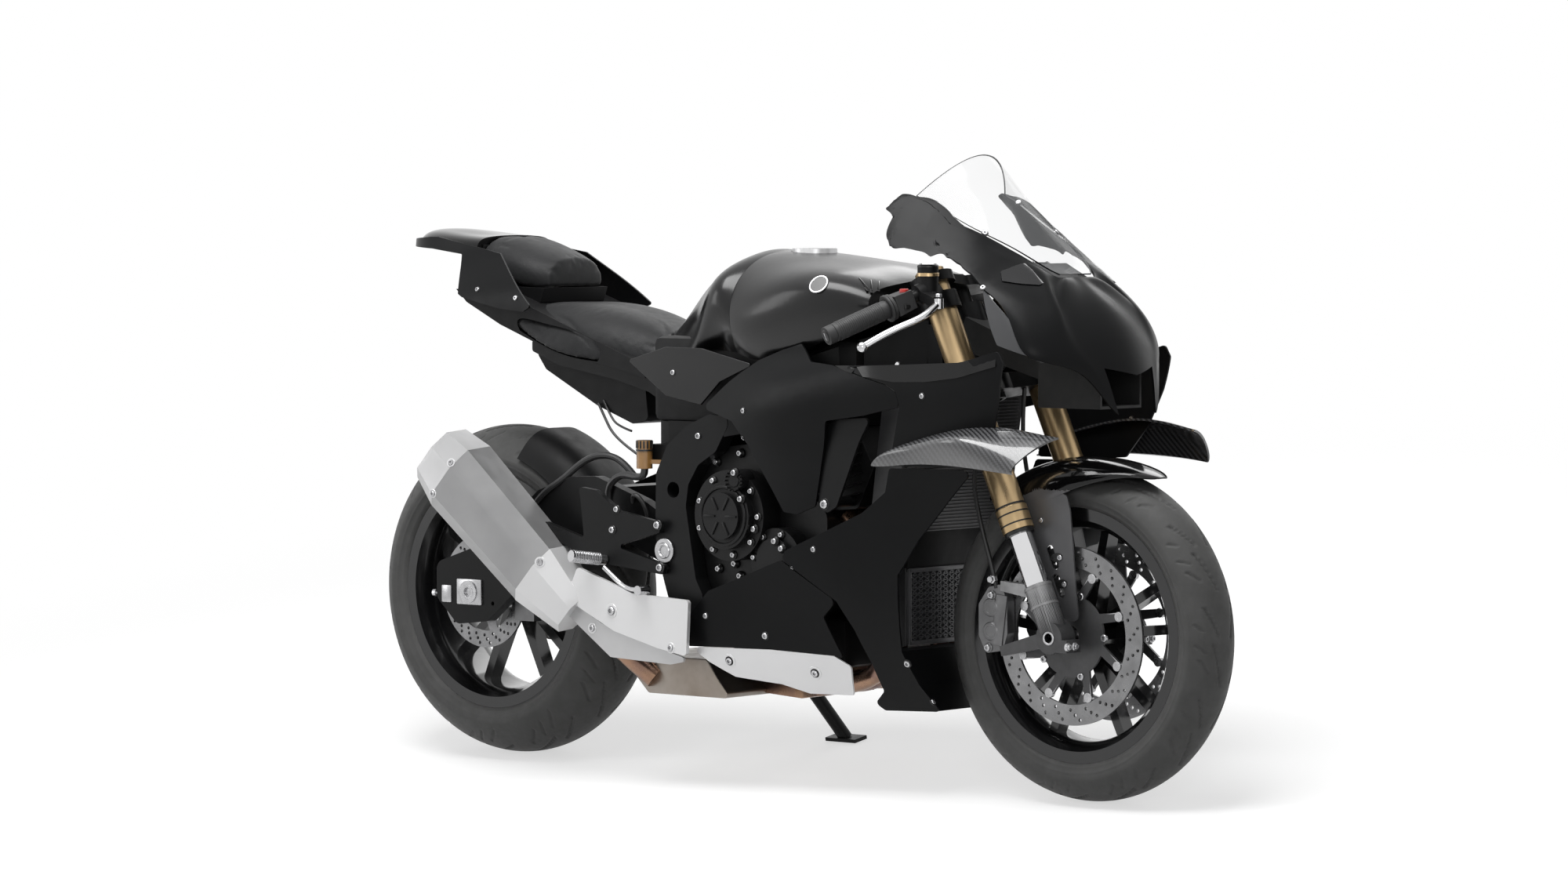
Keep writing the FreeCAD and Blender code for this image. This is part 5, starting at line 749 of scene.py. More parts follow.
def groove_depth(around, across, pitch, grooves):
    """How deep the tread is sunk at a place on the unrolled tyre."""
    deepest = 0.0
    for (u0, v0), (u1, v1), width, depth in grooves:
        for side in (1, -1):
            v = across * side
            u = (around + (pitch / 2 if side < 0 else 0)) % pitch
            for wrap in (0, pitch):
                du, dv = u1 - u0, v1 - v0
                t = ((u + wrap - u0) * du + (v - v0) * dv) / (du * du + dv * dv)
                t = min(1, max(0, t))
                gap = math.hypot(u + wrap - u0 - t * du, v - v0 - t * dv)
                if gap < width:
                    deepest = max(deepest, depth * min(1, (width - gap) / (0.45 * width)))
    return deepest


def tyre(name, node, centre, radius, half, crown_centre, crown, rim_half, points, grooves):
    """A tyre with its tread, spun round an axle."""
    bm = bmesh.new()
    outline = tyre_outline(crown_centre, crown, half, rim_half, points)
    verts = [bm.verts.new((0, across, reach)) for reach, across in outline]
    edges = [bm.edges.new(pair) for pair in zip(verts, verts[1:] + verts[:1])]
    bmesh.ops.spin(bm, geom=verts + edges, cent=(0, 0, 0), axis=(0, 1, 0), angle=math.tau,
                   steps=SPIN_STEPS, use_merge=True)
    bmesh.ops.recalc_face_normals(bm, faces=bm.faces)
    pitch = math.tau * radius / TREAD_PITCHES
    for vert in bm.verts:
        reach = math.hypot(vert.co.x, vert.co.z)
        if reach < crown_centre + 30 or abs(vert.co.y) > half - 2:
            continue
        around = math.atan2(vert.co.z, vert.co.x) % math.tau * radius
        sunk = groove_depth(around, vert.co.y, pitch, grooves)
        if sunk:
            outward = Vector((vert.co.x / reach * (reach - crown_centre), vert.co.y,
                              vert.co.z / reach * (reach - crown_centre))).normalized()
            vert.co -= outward * sunk
    bmesh.ops.transform(bm, matrix=BIKE @ Matrix.Translation(centre), verts=bm.verts)
    piece = placed(name, bm, frame["nodes"][node]["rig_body"], [RUBBER], math.radians(60))
    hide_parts(node)
    print(name, "faces", len(piece.data.polygons))


tyre("front_tyre_tread", "front_tyre", FRONT_AXLE, 300, 60, 238, 62, 50.0, 44,
     [((8, 9), (82, 30), 2.6, 3.2), ((96, 20), (150, 40), 2.6, 3.2), ((30, 36), (52, 49), 2.2, 2.4),
      ((108, 46), (124, 56), 2.0, 1.8), ((66, 42), (80, 54), 2.0, 1.8)])
tyre("rear_tyre_tread", "rear_tyre", REAR_AXLE, 320, 96, 216, 104, 82.0, 62,
     [((6, 10), (92, 44), 3.0, 3.6), ((104, 24), (168, 56), 3.0, 3.6), ((40, 52), (74, 76), 2.8, 2.8),
      ((118, 66), (146, 86), 2.6, 2.4), ((86, 62), (104, 82), 2.4, 2.2)])

# %% [markdown]
# A padded seat swells between its seams. A sculpted block looks hard, so the cover is blown up a little by
# Blender's cloth: a slightly smaller closed skin with air pressure inside, held along its underside, and no
# point may move far. The sewn creases are pressed in afterwards, because the remesh would lose them.

# %% Soft pads
VOXEL = 5.0
FRAMES = 20
UNDERSIDE = -0.25
AIR_PRESSURE = 4.0


def kept_mesh(piece):
    """The mesh of a piece with its modifiers, as a new mesh."""
    bpy.context.view_layer.update()
    return bpy.data.meshes.new_from_object(piece.evaluated_get(bpy.context.evaluated_depsgraph_get()))


def swell(piece, cap):
    """Air pressure from inside moves the skin, but no point moves further than a cap in millimetres."""
    rest = [vert.co.copy() for vert in piece.data.vertices]
    upright = UPRIGHT.to_3x3()
    underside = [v.index for v in piece.data.vertices if (upright @ v.normal).normalized().z < UNDERSIDE]
    piece.vertex_groups.new(name="held").add(underside, 1.0, "REPLACE")
    cloth = piece.modifiers.new("swell", "CLOTH")
    cloth.settings.use_pressure = True
    cloth.settings.uniform_pressure_force = AIR_PRESSURE
    cloth.settings.effector_weights.gravity = 0.0
    cloth.settings.vertex_group_mass = "held"
    cloth.point_cache.frame_start = 1
    cloth.point_cache.frame_end = FRAMES
    for step in range(1, FRAMES + 1):
        scene.frame_set(step)
    swollen = [vert.co.copy() for vert in kept_mesh(piece).vertices]
    piece.modifiers.remove(cloth)
    scene.frame_set(1)
    for vert, start, end in zip(piece.data.vertices, rest, swollen):
        move = end - start
        vert.co = start + move * min(1.0, cap * MM / max(move.length, 1e-9))


def gap_to_line(place, corners):
    """The distance of a place to a line through corners."""
    best = 1e9
    for a, b in zip(corners, corners[1:]):
        run = b - a
        t = min(1.0, max(0.0, (place - a).dot(run) / run.length_squared))
        best = min(best, (a + run * t - place).length)
    return best


def pad(name, node, start_in, cap, creases):
    """A swollen pad that stands for a block, with sewn creases pressed in on both sides."""
    bm = part_copy(node)
    bm.normal_update()
    for vert in bm.verts:
        vert.co -= vert.normal * start_in * MM
    rough = bpy.data.objects.new("rough_pad", bpy.data.meshes.new("rough_pad"))
    bm.to_mesh(rough.data)
    bm.free()
    scene.collection.objects.link(rough)
    remesh = rough.modifiers.new("even_grid", "REMESH")
    remesh.mode = "VOXEL"
    remesh.voxel_size = VOXEL * MM
    mesh = kept_mesh(rough)
    bpy.data.objects.remove(rough)
    mesh.name = name
    piece = bpy.data.objects.new(name, mesh)
    scene.collection.objects.link(piece)
    swell(piece, cap)
    mesh.update()
    for vert in mesh.vertices:
        place = UPRIGHT @ vert.co
        folded = Vector((place.x, abs(place.y), place.z))
        sunk = 0.0
        for corners, width, depth in creases:
            gap = gap_to_line(folded, corners)
            sunk += depth * math.exp(-(gap / width) ** 2)
        vert.co -= vert.normal * sunk * MM
    for face in mesh.polygons:
        face.use_smooth = True
    mesh.materials.append(VINYL)
    rounder = piece.modifiers.new("rounder", "SUBSURF")
    rounder.levels = rounder.render_levels = 1
    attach(piece, frame["nodes"][node]["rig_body"])
    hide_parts(node)
    print(name, "points", len(mesh.vertices))
    return piece


def line(*corners):
    """A line through corners given as (x, out, up) in millimetres."""
    return [Vector(corner) for corner in corners]


pad("rider_seat_pad", "rider_seat", 3.0, 5.0,
    [(line((110, 100, 884), (180, 112, 868), (240, 122, 848), (317, 138, 799), (350, 150, 780)), 5.0, 3.0),
     (line((105, 60, 893), (200, 70, 870), (300, 84, 826), (380, 96, 800), (440, 90, 800)), 5.0, 2.4),
     (line((105, 0, 893), (105, 100, 888)), 4.0, 2.0)])
pad("seat_hump_pad", "seat_hump", 2.0, 3.0,
    [(line((20, 70, 990), (80, 84, 985), (140, 90, 950), (153, 60, 940)), 4.0, 2.6),
     (line((20, 0, 1008), (20, 70, 1000), (10, 92, 960)), 4.0, 1.6)])

# %% [markdown]
# Screws, rings, bolts and hoses are small turned shapes. Each could be an object of its own, but hundreds
# of objects are slow, so all that ride on one body are joined. A screw is a short outline spun round its
# axis, and it is seated by shooting a ray at the panel that carries it, so it always touches the panel.

# %% Turned shapes and seats
OUTSIDE = 600
SEATS = {}


def upright_tree(node):
    """A search tree of a node's surface, upright and in millimetres."""
    if node not in SEATS:
        bm = part_copy(node)
        bmesh.ops.transform(bm, matrix=UPRIGHT, verts=bm.verts)
        SEATS[node] = BVHTree.FromBMesh(bm)
        bm.free()
    return SEATS[node]


def seat(node, x, z, side):
    """The outermost place of a node at (x, z) seen from a side, and the way it faces."""
    start = Vector((x, side * OUTSIDE, z))
    place, facing, _, _ = upright_tree(node).ray_cast(start, Vector((0, -side, 0)))
    if place is None:
        place, facing, _, _ = upright_tree(node).find_nearest(Vector((x, side * 150, z)))
        print("no panel behind", node, x, z, side)
    return place, facing


def join_in(bm, scratch, index=0):
    """Adds a finished little shape to a larger mesh, closed and with its faces outward."""
    bmesh.ops.remove_doubles(scratch, verts=scratch.verts, dist=0.01)
    bmesh.ops.recalc_face_normals(scratch, faces=scratch.faces)
    for face in scratch.faces:
        face.material_index = index
    shape = bpy.data.meshes.new("shape")
    scratch.to_mesh(shape)
    scratch.free()
    bm.from_mesh(shape)
    bpy.data.meshes.remove(shape)


def turned(bm, outline, centre, axis, steps=20, index=0):
    """A lathe: (radius, along) pairs are spun round an axis."""
    axis = Vector(axis).normalized()
    side = axis.orthogonal().normalized()
    centre = Vector(centre)
    scratch = bmesh.new()
    verts = [scratch.verts.new(centre + side * radius + axis * along) for radius, along in outline]
    edges = [scratch.edges.new(pair) for pair in zip(verts, verts[1:])]
    bmesh.ops.spin(scratch, geom=verts + edges, cent=centre, axis=axis, angle=math.tau, steps=steps,
                   use_merge=True)
    join_in(bm, scratch, index)


def screw(bm, centre, axis, radius, index=0):
    """A socket-head screw that stands out of a panel."""
    r = radius
    turned(bm, [(0, -2), (r, -2), (r, 0.45 * r), (0.85 * r, 0.62 * r), (0.52 * r, 0.62 * r),
                (0.45 * r, 0.12 * r), (0, 0.12 * r)], centre, axis, 14, index)


def ring(bm, centre, axis, inner, outer, height, index=0, steps=28):
    """A flat ring with softened edges."""
    soft = min(0.25 * (outer - inner), 0.4 * height)
    turned(bm, [(inner, -1), (outer, -1), (outer, height - soft), (outer - soft, height),
                (inner + soft, height), (inner, height - soft), (inner, -1)], centre, axis, steps, index)


def button(bm, centre, axis, radius, height, index=0, steps=24):
    """A low round plate with a rounded edge."""
    soft = min(0.3 * radius, 0.5 * height)
    turned(bm, [(0, -1), (radius, -1), (radius, height - soft), (radius - soft, height), (0, height)],
           centre, axis, steps, index)


def block(bm, centre, size, turn=None, soft=0.8, index=0):
    """A box with rounded edges, turned by a matrix if one is given."""
    scratch = bmesh.new()
    bmesh.ops.create_cube(scratch, size=1)
    bmesh.ops.scale(scratch, vec=Vector(size), verts=scratch.verts)
    if soft:
        bmesh.ops.bevel(scratch, geom=scratch.edges[:], offset=soft, segments=2, profile=0.5,
                        affect="EDGES", material=-1)
    if turn is not None:
        bmesh.ops.transform(scratch, matrix=turn, verts=scratch.verts)
    bmesh.ops.translate(scratch, vec=Vector(centre), verts=scratch.verts)
    join_in(bm, scratch, index)


def hose(bm, route, radius, index=0):
    """A hose along a smooth line through a few places."""
    curve = bpy.data.curves.new("hose", "CURVE")
    curve.dimensions = "3D"
    spline = curve.splines.new("NURBS")
    spline.points.add(len(route) - 1)
    for point, place in zip(spline.points, route):
        point.co = (*place, 1)
    spline.order_u = 3
    spline.use_endpoint_u = True
    spline.resolution_u = 6
    curve.bevel_depth = radius
    curve.bevel_resolution = 3
    curve.use_fill_caps = True
    holder = bpy.data.objects.new("hose", curve)
    scene.collection.objects.link(holder)
    tube = kept_mesh(holder)
    bpy.data.objects.remove(holder)
    scratch = bmesh.new()
    scratch.from_mesh(tube)
    bpy.data.meshes.remove(tube)
    join_in(bm, scratch, index)


TRIM_TURN = math.radians(35)


def trim(name, bm, body, finishes):
    """Leans a trim mesh from the upright frame and makes it a piece."""
    bmesh.ops.transform(bm, matrix=BIKE, verts=bm.verts)
    count = len(bm.faces)
    placed(name, bm, body, finishes, TRIM_TURN)
    print(name, "faces", count)


# %% Screws of the skins, on both sides
SKIN_SCREWS = {
    "nose_cowl": ((1306, 921, 4.5),),
    "windscreen": ((1140, 1062, 5), (1251, 1006, 5)),
    "upper_fairings": ((1214, 729, 5), (764, 691, 5), (958, 526, 8), (1154, 790, 4.5), (690, 560, 5)),
    "lower_fairings": ((929, 443, 5), (1179, 171, 5), (1140, 249, 6), (800, 300, 4.5)),
    "belly_pans": ((654, 308, 5), (791, 277, 6)),
    "side_covers": ((555, 756, 5),),
    "winglets": ((1319, 675, 4.5), (1116, 628, 4.5), (1085, 600, 4.5)),
    "tail_panels": ((40, 905, 4.5), (150, 890, 4.5)),
}
STRIP_SCREWS = ((700, 226), (888, 212))
bm = bmesh.new()
for node, screws in SKIN_SCREWS.items():
    for x, z, radius in screws:
        for side in (-1, 1):
            place, facing = seat(node, x, z, side)
            ring(bm, place, facing, radius * 1.02, radius * 1.35, 0.8, 1, 18)
            screw(bm, place, facing, radius)
for x, z in STRIP_SCREWS:
    for side in (-1, 1):
        place, facing = seat("belly_pans", x, z, side)
        ring(bm, place, facing, 9.0, 13.5, 1.2, 2)
        button(bm, place, facing, 9.2, 0.5, 1)
        screw(bm, place, facing, 6.5)
EXHAUST_SCREWS = (
    (87, 578, 5, "silencer"), (42, 518, 5, "silencer"), (286, 395, 6, "heat_shields"),
    (443, 309, 8, "heat_shields"), (386, 273, 6, "heat_shields"), (591, 247, 6, "heat_shields"))
for x, z, radius, node in EXHAUST_SCREWS:
    place, facing = seat(node, x, z, -1)
    ring(bm, place, facing, radius * 1.1, radius * 1.7, 1.0, 2)
    screw(bm, place, facing, radius)
trim("skin_screws", bm, "root", [BOLT_STEEL, BOLT_BLACK, SILVER_COVER])

# %% Engine bolts, caps and rings
ENGINE_BOLTS = (
    (703, 609), (644, 591), (748, 577), (760, 529), (778, 474), (823, 453), (840, 440), (835, 407),
    (689, 404), (649, 393), (702, 382), (739, 352), (760, 356), (820, 372), (630, 470), (634, 530))
bm = bmesh.new()
for x, z in ENGINE_BOLTS:
    place, facing = seat("engine_covers" if x > 745 else "engine_block", x, z, -1)
    button(bm, place, (0, -1, 0), 9.0, 6.0, 1)
    screw(bm, place + Vector((0, -6, 0)), (0, -1, 0), 5.5)


def bolt_circle(bm, centre, out, count, reach, first, plate, height, bolt):
    """Screws on low round plates, evenly round a centre on a side of the engine."""
    for i in range(count):
        angle = math.tau * (i + first) / count
        place = centre + Vector((reach * math.cos(angle), 0, reach * math.sin(angle)))
        button(bm, place, (0, out, 0), plate, height, 1)
        screw(bm, place + Vector((0, out * 4, 0)), (0, out, 0), bolt)


CLUTCH = Vector((713, -212, 496))
ring(bm, CLUTCH, (0, -1, 0), 50, 56, 3.0, 1, 48)
bolt_circle(bm, Vector((713, -196, 496)), -1, 9, 73, 0, 8, 4, 5)
for i in range(6):
    spoke = Matrix.Rotation(-math.tau * i / 6, 4, "Y")
    block(bm, CLUTCH + spoke @ Vector((26, -9, 0)), (26, 3, 4), spoke, 0.8, 1)
OIL_CAP = Vector((744, -216, 562))
for i in range(16):
    spoke = Matrix.Rotation(math.tau * i / 16, 4, "Y")
    block(bm, OIL_CAP + spoke @ Vector((18.6, 0, 0)), (2.4, 12, 3.4), spoke, 0.5, 1)
button(bm, OIL_CAP, (0, -1, 0), 12, 2.5, 1)
PUMP = Vector((816, -184, 416))
bolt_circle(bm, PUMP, -1, 7, 51, 0.4, 7.5, 4, 4.6)
HEAD_FINS = 9
HEAD_TURN = Matrix.Rotation(math.radians(-14), 4, "Y")
for side in (-1, 1):
    for i in range(HEAD_FINS):
        block(bm, (880, side * 130, 520 + 18 * i), (200, 16, 3.2), HEAD_TURN, 0.8, 1)
LEFT_COVER = Vector((800, 178, 440))
bolt_circle(bm, LEFT_COVER, 1, 8, 64, 0, 8, 4, 5)
trim("engine_bolts", bm, "root", [BOLT_STEEL, ENGINE_PAINT])

# %% [markdown]
# Behind the skins an airbox, a sump and a shroud between the radiators close the view through the bike.
# They are plain rounded shapes, because only dark corners of them show.

# %% Inner parts
bm = bmesh.new()
block(bm, (720, 0, 742), (500, 270, 160), None, 14)
block(bm, (540, 0, 640), (150, 230, 150), None, 14)
block(bm, (760, 0, 262), (280, 170, 92), None, 14)
block(bm, (1072, 0, 440), (14, 236, 78), Matrix.Rotation(math.radians(8), 4, "Y"), 3)
trim("inner_boxes", bm, "root", [INNER_PLASTIC])

# %% Radiator slats and cooler mesh
RADIATOR_LOW = Vector((1083, 0, 470))
RADIATOR_TOP = Vector((1120, 0, 720))
SLATS = 40
bm = bmesh.new()
for i in range(1, SLATS):
    place = RADIATOR_LOW.lerp(RADIATOR_TOP, i / SLATS)
    block(bm, place + Vector((0.5, 0, 0)), (5, 306, 2.0), None, 0)
COOLER_FACE = 1072
COOLER_HALF = 110
COOLER_LOW, COOLER_TOP = 276, 402
grille = bmesh.new()
for slope in (-32, 32, 0):
    for i in range(-26, 27):
        if slope == 0 and i % 2:
            continue
        step = 11.0 if slope else 5.6
        block(grille, (COOLER_FACE + 1.5, 0, 339 + i * step), (2.6, 300, 1.5),
              Matrix.Rotation(math.radians(slope), 4, "X"), 0)
for cut, facing in (((0, COOLER_HALF, 0), (0, 1, 0)), ((0, -COOLER_HALF, 0), (0, -1, 0)),
                    ((0, 0, COOLER_TOP), (0, 0, 1)), ((0, 0, COOLER_LOW), (0, 0, -1))):
    bmesh.ops.bisect_plane(grille, geom=grille.verts[:] + grille.edges[:] + grille.faces[:], plane_co=cut,
                           plane_no=facing, clear_outer=True)
join_in(bm, grille)
for side in (-1, 1):
    block(bm, (COOLER_FACE + 2, side * 113, 339), (8, 8, 138), None, 1.5)
for height in (COOLER_LOW - 3, COOLER_TOP + 3):
    block(bm, (COOLER_FACE + 2, 0, height), (8, 230, 8), None, 1.5)
trim("radiator_grilles", bm, "root", [PLATE_GREY])

# %% [markdown]
# The tank carries a bare round badge with a silver ring and three slanted vents on each side. The gloss
# strip on the front panel lies on a curved skin, so two edge lines are seated on it point by point and
# bridged, and a thickness is added.

# %% Tank badge, vents and gloss strips
def facing_turn(along, facing):
    """A turn whose X runs along a line and whose Y faces out of a panel."""
    facing = Vector(facing).normalized()
    along = Vector(along)
    along = (along - facing * along.dot(facing)).normalized()
    return Matrix((along, facing, along.cross(facing))).transposed().to_4x4()


def along_line(corners, share):
    """The place at a share of a line through (x, z) corners."""
    runs = [math.dist(a, b) for a, b in zip(corners, corners[1:])]
    left = share * sum(runs)
    for (a, b), run in zip(zip(corners, corners[1:]), runs):
        if left <= run:
            return a[0] + (b[0] - a[0]) * left / run, a[1] + (b[1] - a[1]) * left / run
        left -= run
    return corners[-1]


VENTS = (((994, 933), (1026, 909)), ((1008, 930), (1032, 906)), ((1018, 927), (1034, 909)))
STRIP_TOP = ((1010, 776), (1154, 783), (1305, 790), (1372, 808))
STRIP_LOW = ((1030, 768), (1066, 762), (1146, 752), (1226, 754), (1301, 763), (1384, 784))
STRIP_STEPS = 24
bm = bmesh.new()
for side in (-1, 1):
    place, facing = seat("tank_cover", 937, 924, side)
    ring(bm, place, facing, 16, 19.2, 1.4, 0, 40)
    button(bm, place, facing, 16.2, 0.7, 1, 40)
    for (x0, z0), (x1, z1) in VENTS:
        first, facing = seat("tank_cover", x0, z0, side)
        last, _ = seat("tank_cover", x1, z1, side)
        run = facing_turn(last - first, facing)
        halfway, length = (first + last) / 2, (last - first).length
        block(bm, halfway + facing * 0.2, (length, 1.2, 5.5), run, 0.4, 2)
        block(bm, halfway + facing * 1.2 + Vector((0, 0, 3.2)), (length + 4, 2.4, 1.6), run, 0.5, 1)
    skin = bmesh.new()
    rows = []
    for corners in (STRIP_TOP, STRIP_LOW):
        row = []
        for i in range(STRIP_STEPS + 1):
            place, facing = seat("upper_fairings", *along_line(corners, i / STRIP_STEPS), side)
            row.append(skin.verts.new(place + Vector((0, side * 1.2, 0))))
        rows += [skin.edges.new(pair) for pair in zip(row, row[1:])]
    bmesh.ops.bridge_loops(skin, edges=rows)
    bmesh.ops.solidify(skin, geom=skin.faces[:], thickness=1.2)
    join_in(bm, skin, 1)
trim("tank_and_panel_trim", bm, "root", [BOLT_STEEL, GLOSS_BODY, DARK_CORE])

# %% [markdown]
# The chain is rollers between pairs of side plates. One long bent solid would do from far away, but links
# catch the light one by one. The run is two straight lines and two arcs round the sprockets, and a link
# is set on it at every pitch.

# %% Chain
PITCH = 15.875
CHAIN_LINE = 108
FRONT_SPROCKET = Vector((640, 0, 412))
REAR_TEETH, FRONT_TEETH = 41, 16
ROLLER = ((0, -10.4), (2.6, -10.4), (2.6, -5.0), (5.0, -5.0), (5.0, 5.0), (2.6, 5.0), (2.6, 10.4), (0, 10.4))
CAST_LOOP = 300
big = PITCH / 2 / math.sin(math.pi / REAR_TEETH)
small = PITCH / 2 / math.sin(math.pi / FRONT_TEETH)
apart = FRONT_SPROCKET - REAR_AXLE
slope = math.atan2(apart.z, apart.x)
spread = math.acos((big - small) / apart.length)
straight = math.sqrt(apart.length_squared - (big - small) ** 2)
front_arc = small * 2 * spread
rear_arc = big * (math.tau - 2 * spread)
CHAIN_LENGTH = 2 * straight + front_arc + rear_arc
LINKS = 2 * round(CHAIN_LENGTH / PITCH / 2)


def spoke_at(centre, radius, angle):
    """A place on a sprocket's pitch circle."""
    return centre + Vector((math.cos(angle), 0, math.sin(angle))) * radius


def on_chain(share):
    """The place at a share of the chain's run, from where the upper run leaves the rear sprocket."""
    left = (share % 1) * CHAIN_LENGTH
    up, down = slope + spread, slope - spread
    if left < straight:
        return spoke_at(REAR_AXLE, big, up).lerp(spoke_at(FRONT_SPROCKET, small, up), left / straight)
    left -= straight
    if left < front_arc:
        return spoke_at(FRONT_SPROCKET, small, up - left / small)
    left -= front_arc
    if left < straight:
        return spoke_at(FRONT_SPROCKET, small, down).lerp(spoke_at(REAR_AXLE, big, down), left / straight)
    return spoke_at(REAR_AXLE, big, down - (left - straight) / big)


bm = bmesh.new()
for i in range(LINKS):
    first, last = on_chain(i / LINKS), on_chain((i + 1) / LINKS)
    middle_place = (first + last) / 2 + Vector((0, CHAIN_LINE, 0))
    run = facing_turn(last - first, (0, 1, 0))
    reach = 8.6 if i % 2 else 6.2
    for side in (-1, 1):
        plate = bmesh.new()
        bmesh.ops.create_cube(plate, size=1)
        bmesh.ops.scale(plate, vec=(PITCH + 12, 1.9, 12.5), verts=plate.verts)
        corners = [edge for edge in plate.edges if abs(edge.verts[0].co.y - edge.verts[1].co.y) > 1]
        bmesh.ops.bevel(plate, geom=corners, offset=5.4, segments=3, profile=0.5, affect="EDGES",
                        material=-1)
        bmesh.ops.transform(plate, matrix=run, verts=plate.verts)
        bmesh.ops.translate(plate, vec=middle_place + Vector((0, side * reach, 0)), verts=plate.verts)
        join_in(bm, plate)
    turned(bm, ROLLER, first + Vector((0, CHAIN_LINE, 0)), (0, 1, 0), 8, 1)
source = part_copy("chain")
for group in islands(source):
    centre, size = middle(group)
    if size.x > CAST_LOOP:
        bmesh.ops.delete(source, geom=group, context="FACES")
bmesh.ops.transform(source, matrix=UPRIGHT, verts=source.verts)
if source.faces:
    join_in(bm, source, 1)
CHAIN_STEEL = finish("chain_steel", (0.22, 0.21, 0.20), 0.38, metal=0.9, second=(0.12, 0.115, 0.11),
                     patch=40)
bmesh.ops.transform(bm, matrix=BIKE, verts=bm.verts)
links_piece = placed("chain_links", bm, frame["nodes"]["chain"]["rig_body"],
                     [CHAIN_STEEL, BOLT_STEEL], TRIM_TURN)
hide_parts("chain")
print("chain links", LINKS, "faces", len(links_piece.data.polygons))

# %% [markdown]
# The steering carries the most small parts: seal rings on the fork, pinch bolts, caliper pistons, ribbed
# grips, cap screws and the red switch. They ride on the steering, so they turn with it.

# %% Fork, caliper, fender and grip details
STEERING = frame["nodes"]["fork_tubes"]["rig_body"]
RAKE_SLOPE = 0.4452
RAKE_AXIS = Vector((-RAKE_SLOPE, 0, 1)).normalized()
FORK_OUT = 106


def fork_point(side, height):
    """A place on a fork leg's axis."""
    return Vector((FRONT_AXLE.x - (height - FRONT_AXLE.z) * RAKE_SLOPE, side * FORK_OUT, height))


def oval(bm, place, facing, along, half_long, half_wide, height, index):
    """A low oval plate on a panel."""
    scratch = bmesh.new()
    bmesh.ops.create_cone(scratch, cap_ends=True, segments=24, radius1=1, radius2=0.96, depth=1)
    bmesh.ops.scale(scratch, vec=(half_long, half_wide, height), verts=scratch.verts)
    bmesh.ops.rotate(scratch, cent=(0, 0, 0), matrix=Matrix.Rotation(math.radians(-90), 3, "X"),
                     verts=scratch.verts)
    bmesh.ops.transform(scratch, matrix=facing_turn(along, facing), verts=scratch.verts)
    bmesh.ops.translate(scratch, vec=place, verts=scratch.verts)
    join_in(bm, scratch, index)


bm = bmesh.new()
for side in (-1, 1):
    out = Vector((0, side, 0))
    ring(bm, fork_point(side, 480), RAKE_AXIS, 21.8, 27.4, 7, 1)
    for height in (497, 514):
        ring(bm, fork_point(side, height), RAKE_AXIS, 28.4, 29.3, 2.0, 1)
    ring(bm, fork_point(side, 528), RAKE_AXIS, 26.6, 28.2, 2.5, 1)
    ring(bm, fork_point(side, 386), RAKE_AXIS, 21.8, 26.0, 5, 2)
    ring(bm, fork_point(side, 354), RAKE_AXIS, 24.6, 26.4, 3, 2)
    button(bm, fork_point(side, 949), RAKE_AXIS, 19, 5, 0)
    for out_share in (-1, 1):
        place = FRONT_AXLE + Vector((40, side * (FORK_OUT + out_share * 10 + 7), -14))
        button(bm, place, (1, 0, 0), 8, 3, 0)
        screw(bm, place + Vector((3, 0, 0)), (1, 0, 0), 5.5)
    for x, z in ((1245, 367), (1237, 272)):
        place, facing = seat("front_calipers", x, z, side)
        button(bm, place, out, 9, 3, 3)
        screw(bm, place + out * 3, out, 6)
    for z in (302, 345):
        place, facing = seat("front_calipers", 1243, z, side)
        button(bm, place, out, 17, 4.5, 3, 32)
        ring(bm, place + out * 4, out, 10, 12.5, 1.2, 3, 32)
    place, facing = seat("front_calipers", 1262, 323, side)
    block(bm, place, (26, 5, 92), Matrix.Rotation(math.radians(8), 4, "Y"), 2, 3)
    turned(bm, [(0, -4), (8, -4), (8, 4), (6, 5), (6, 10), (0, 10)],
           Vector((1249, side * 88, 396)), out, 6, 0)
    for x, z in ((1385, 440), (1395, 393)):
        place, facing = seat("front_fender", x, z, side)
        oval(bm, place, facing, (1, 0, 0.1), 14, 8.5, 1.2, 1)
        place, facing = seat("front_fender", x + 8, z, side)
        screw(bm, place + out * 0.6, out, 5)
    place, facing = seat("front_fender", 1350, 505, side)
    screw(bm, place, out, 4.5)
    root, end = Vector((1128, side * 232, 884)), Vector((1076, side * 345, 835))
    run = (end - root).normalized()
    for i in range(24):
        ring(bm, root.lerp(end, 0.14 + 0.029 * i), run, 16.2, 17.7, 2.2, 4, 24)
    ring(bm, root.lerp(end, 0.02), run, 17, 25.5, 3.2, 4, 32)
    button(bm, end - run * 1, run, 12, 3, 1, 28)
    block(bm, end + run * 2.2, (14, 1.0, 2.6), facing_turn((0, 0, 1), run), 0.3, 0)
    pod = root - run * 26
    block(bm, pod + Vector((6, 0, 20)), (15, 11, 9), None, 2, 5 if side < 0 else 1)
    block(bm, pod + Vector((-16, 0, 10)), (8, 14, 9), None, 2, 1)
    block(bm, pod + Vector((14, 0, -8)), (14, 26, 10), None, 2.5, 1)
    cup = Vector((1160, side * 162, 905))
    ring(bm, cup + Vector((0, 0, 36)), (0, 0, 1), 18, 20.4, 5, 6)
    button(bm, cup + Vector((0, 0, 52)), (0, 0, 1), 19.4, 4, 1, 32)
    for turn_share in (0, 0.5):
        angle = math.tau * turn_share + 0.6
        screw(bm, cup + Vector((13 * math.cos(angle), 13 * math.sin(angle), 56)), (0, 0, 1), 2.6)
    screw(bm, Vector((1212, side * 196, 906)), (0, 0, 1), 6)
STEM_NUT = Vector((1507 - RAKE_SLOPE * 922, 0, 922))
turned(bm, [(11, -2), (17, -2), (17, 5), (15, 7), (11, 7), (11, -2)], STEM_NUT, RAKE_AXIS, 6, 0)
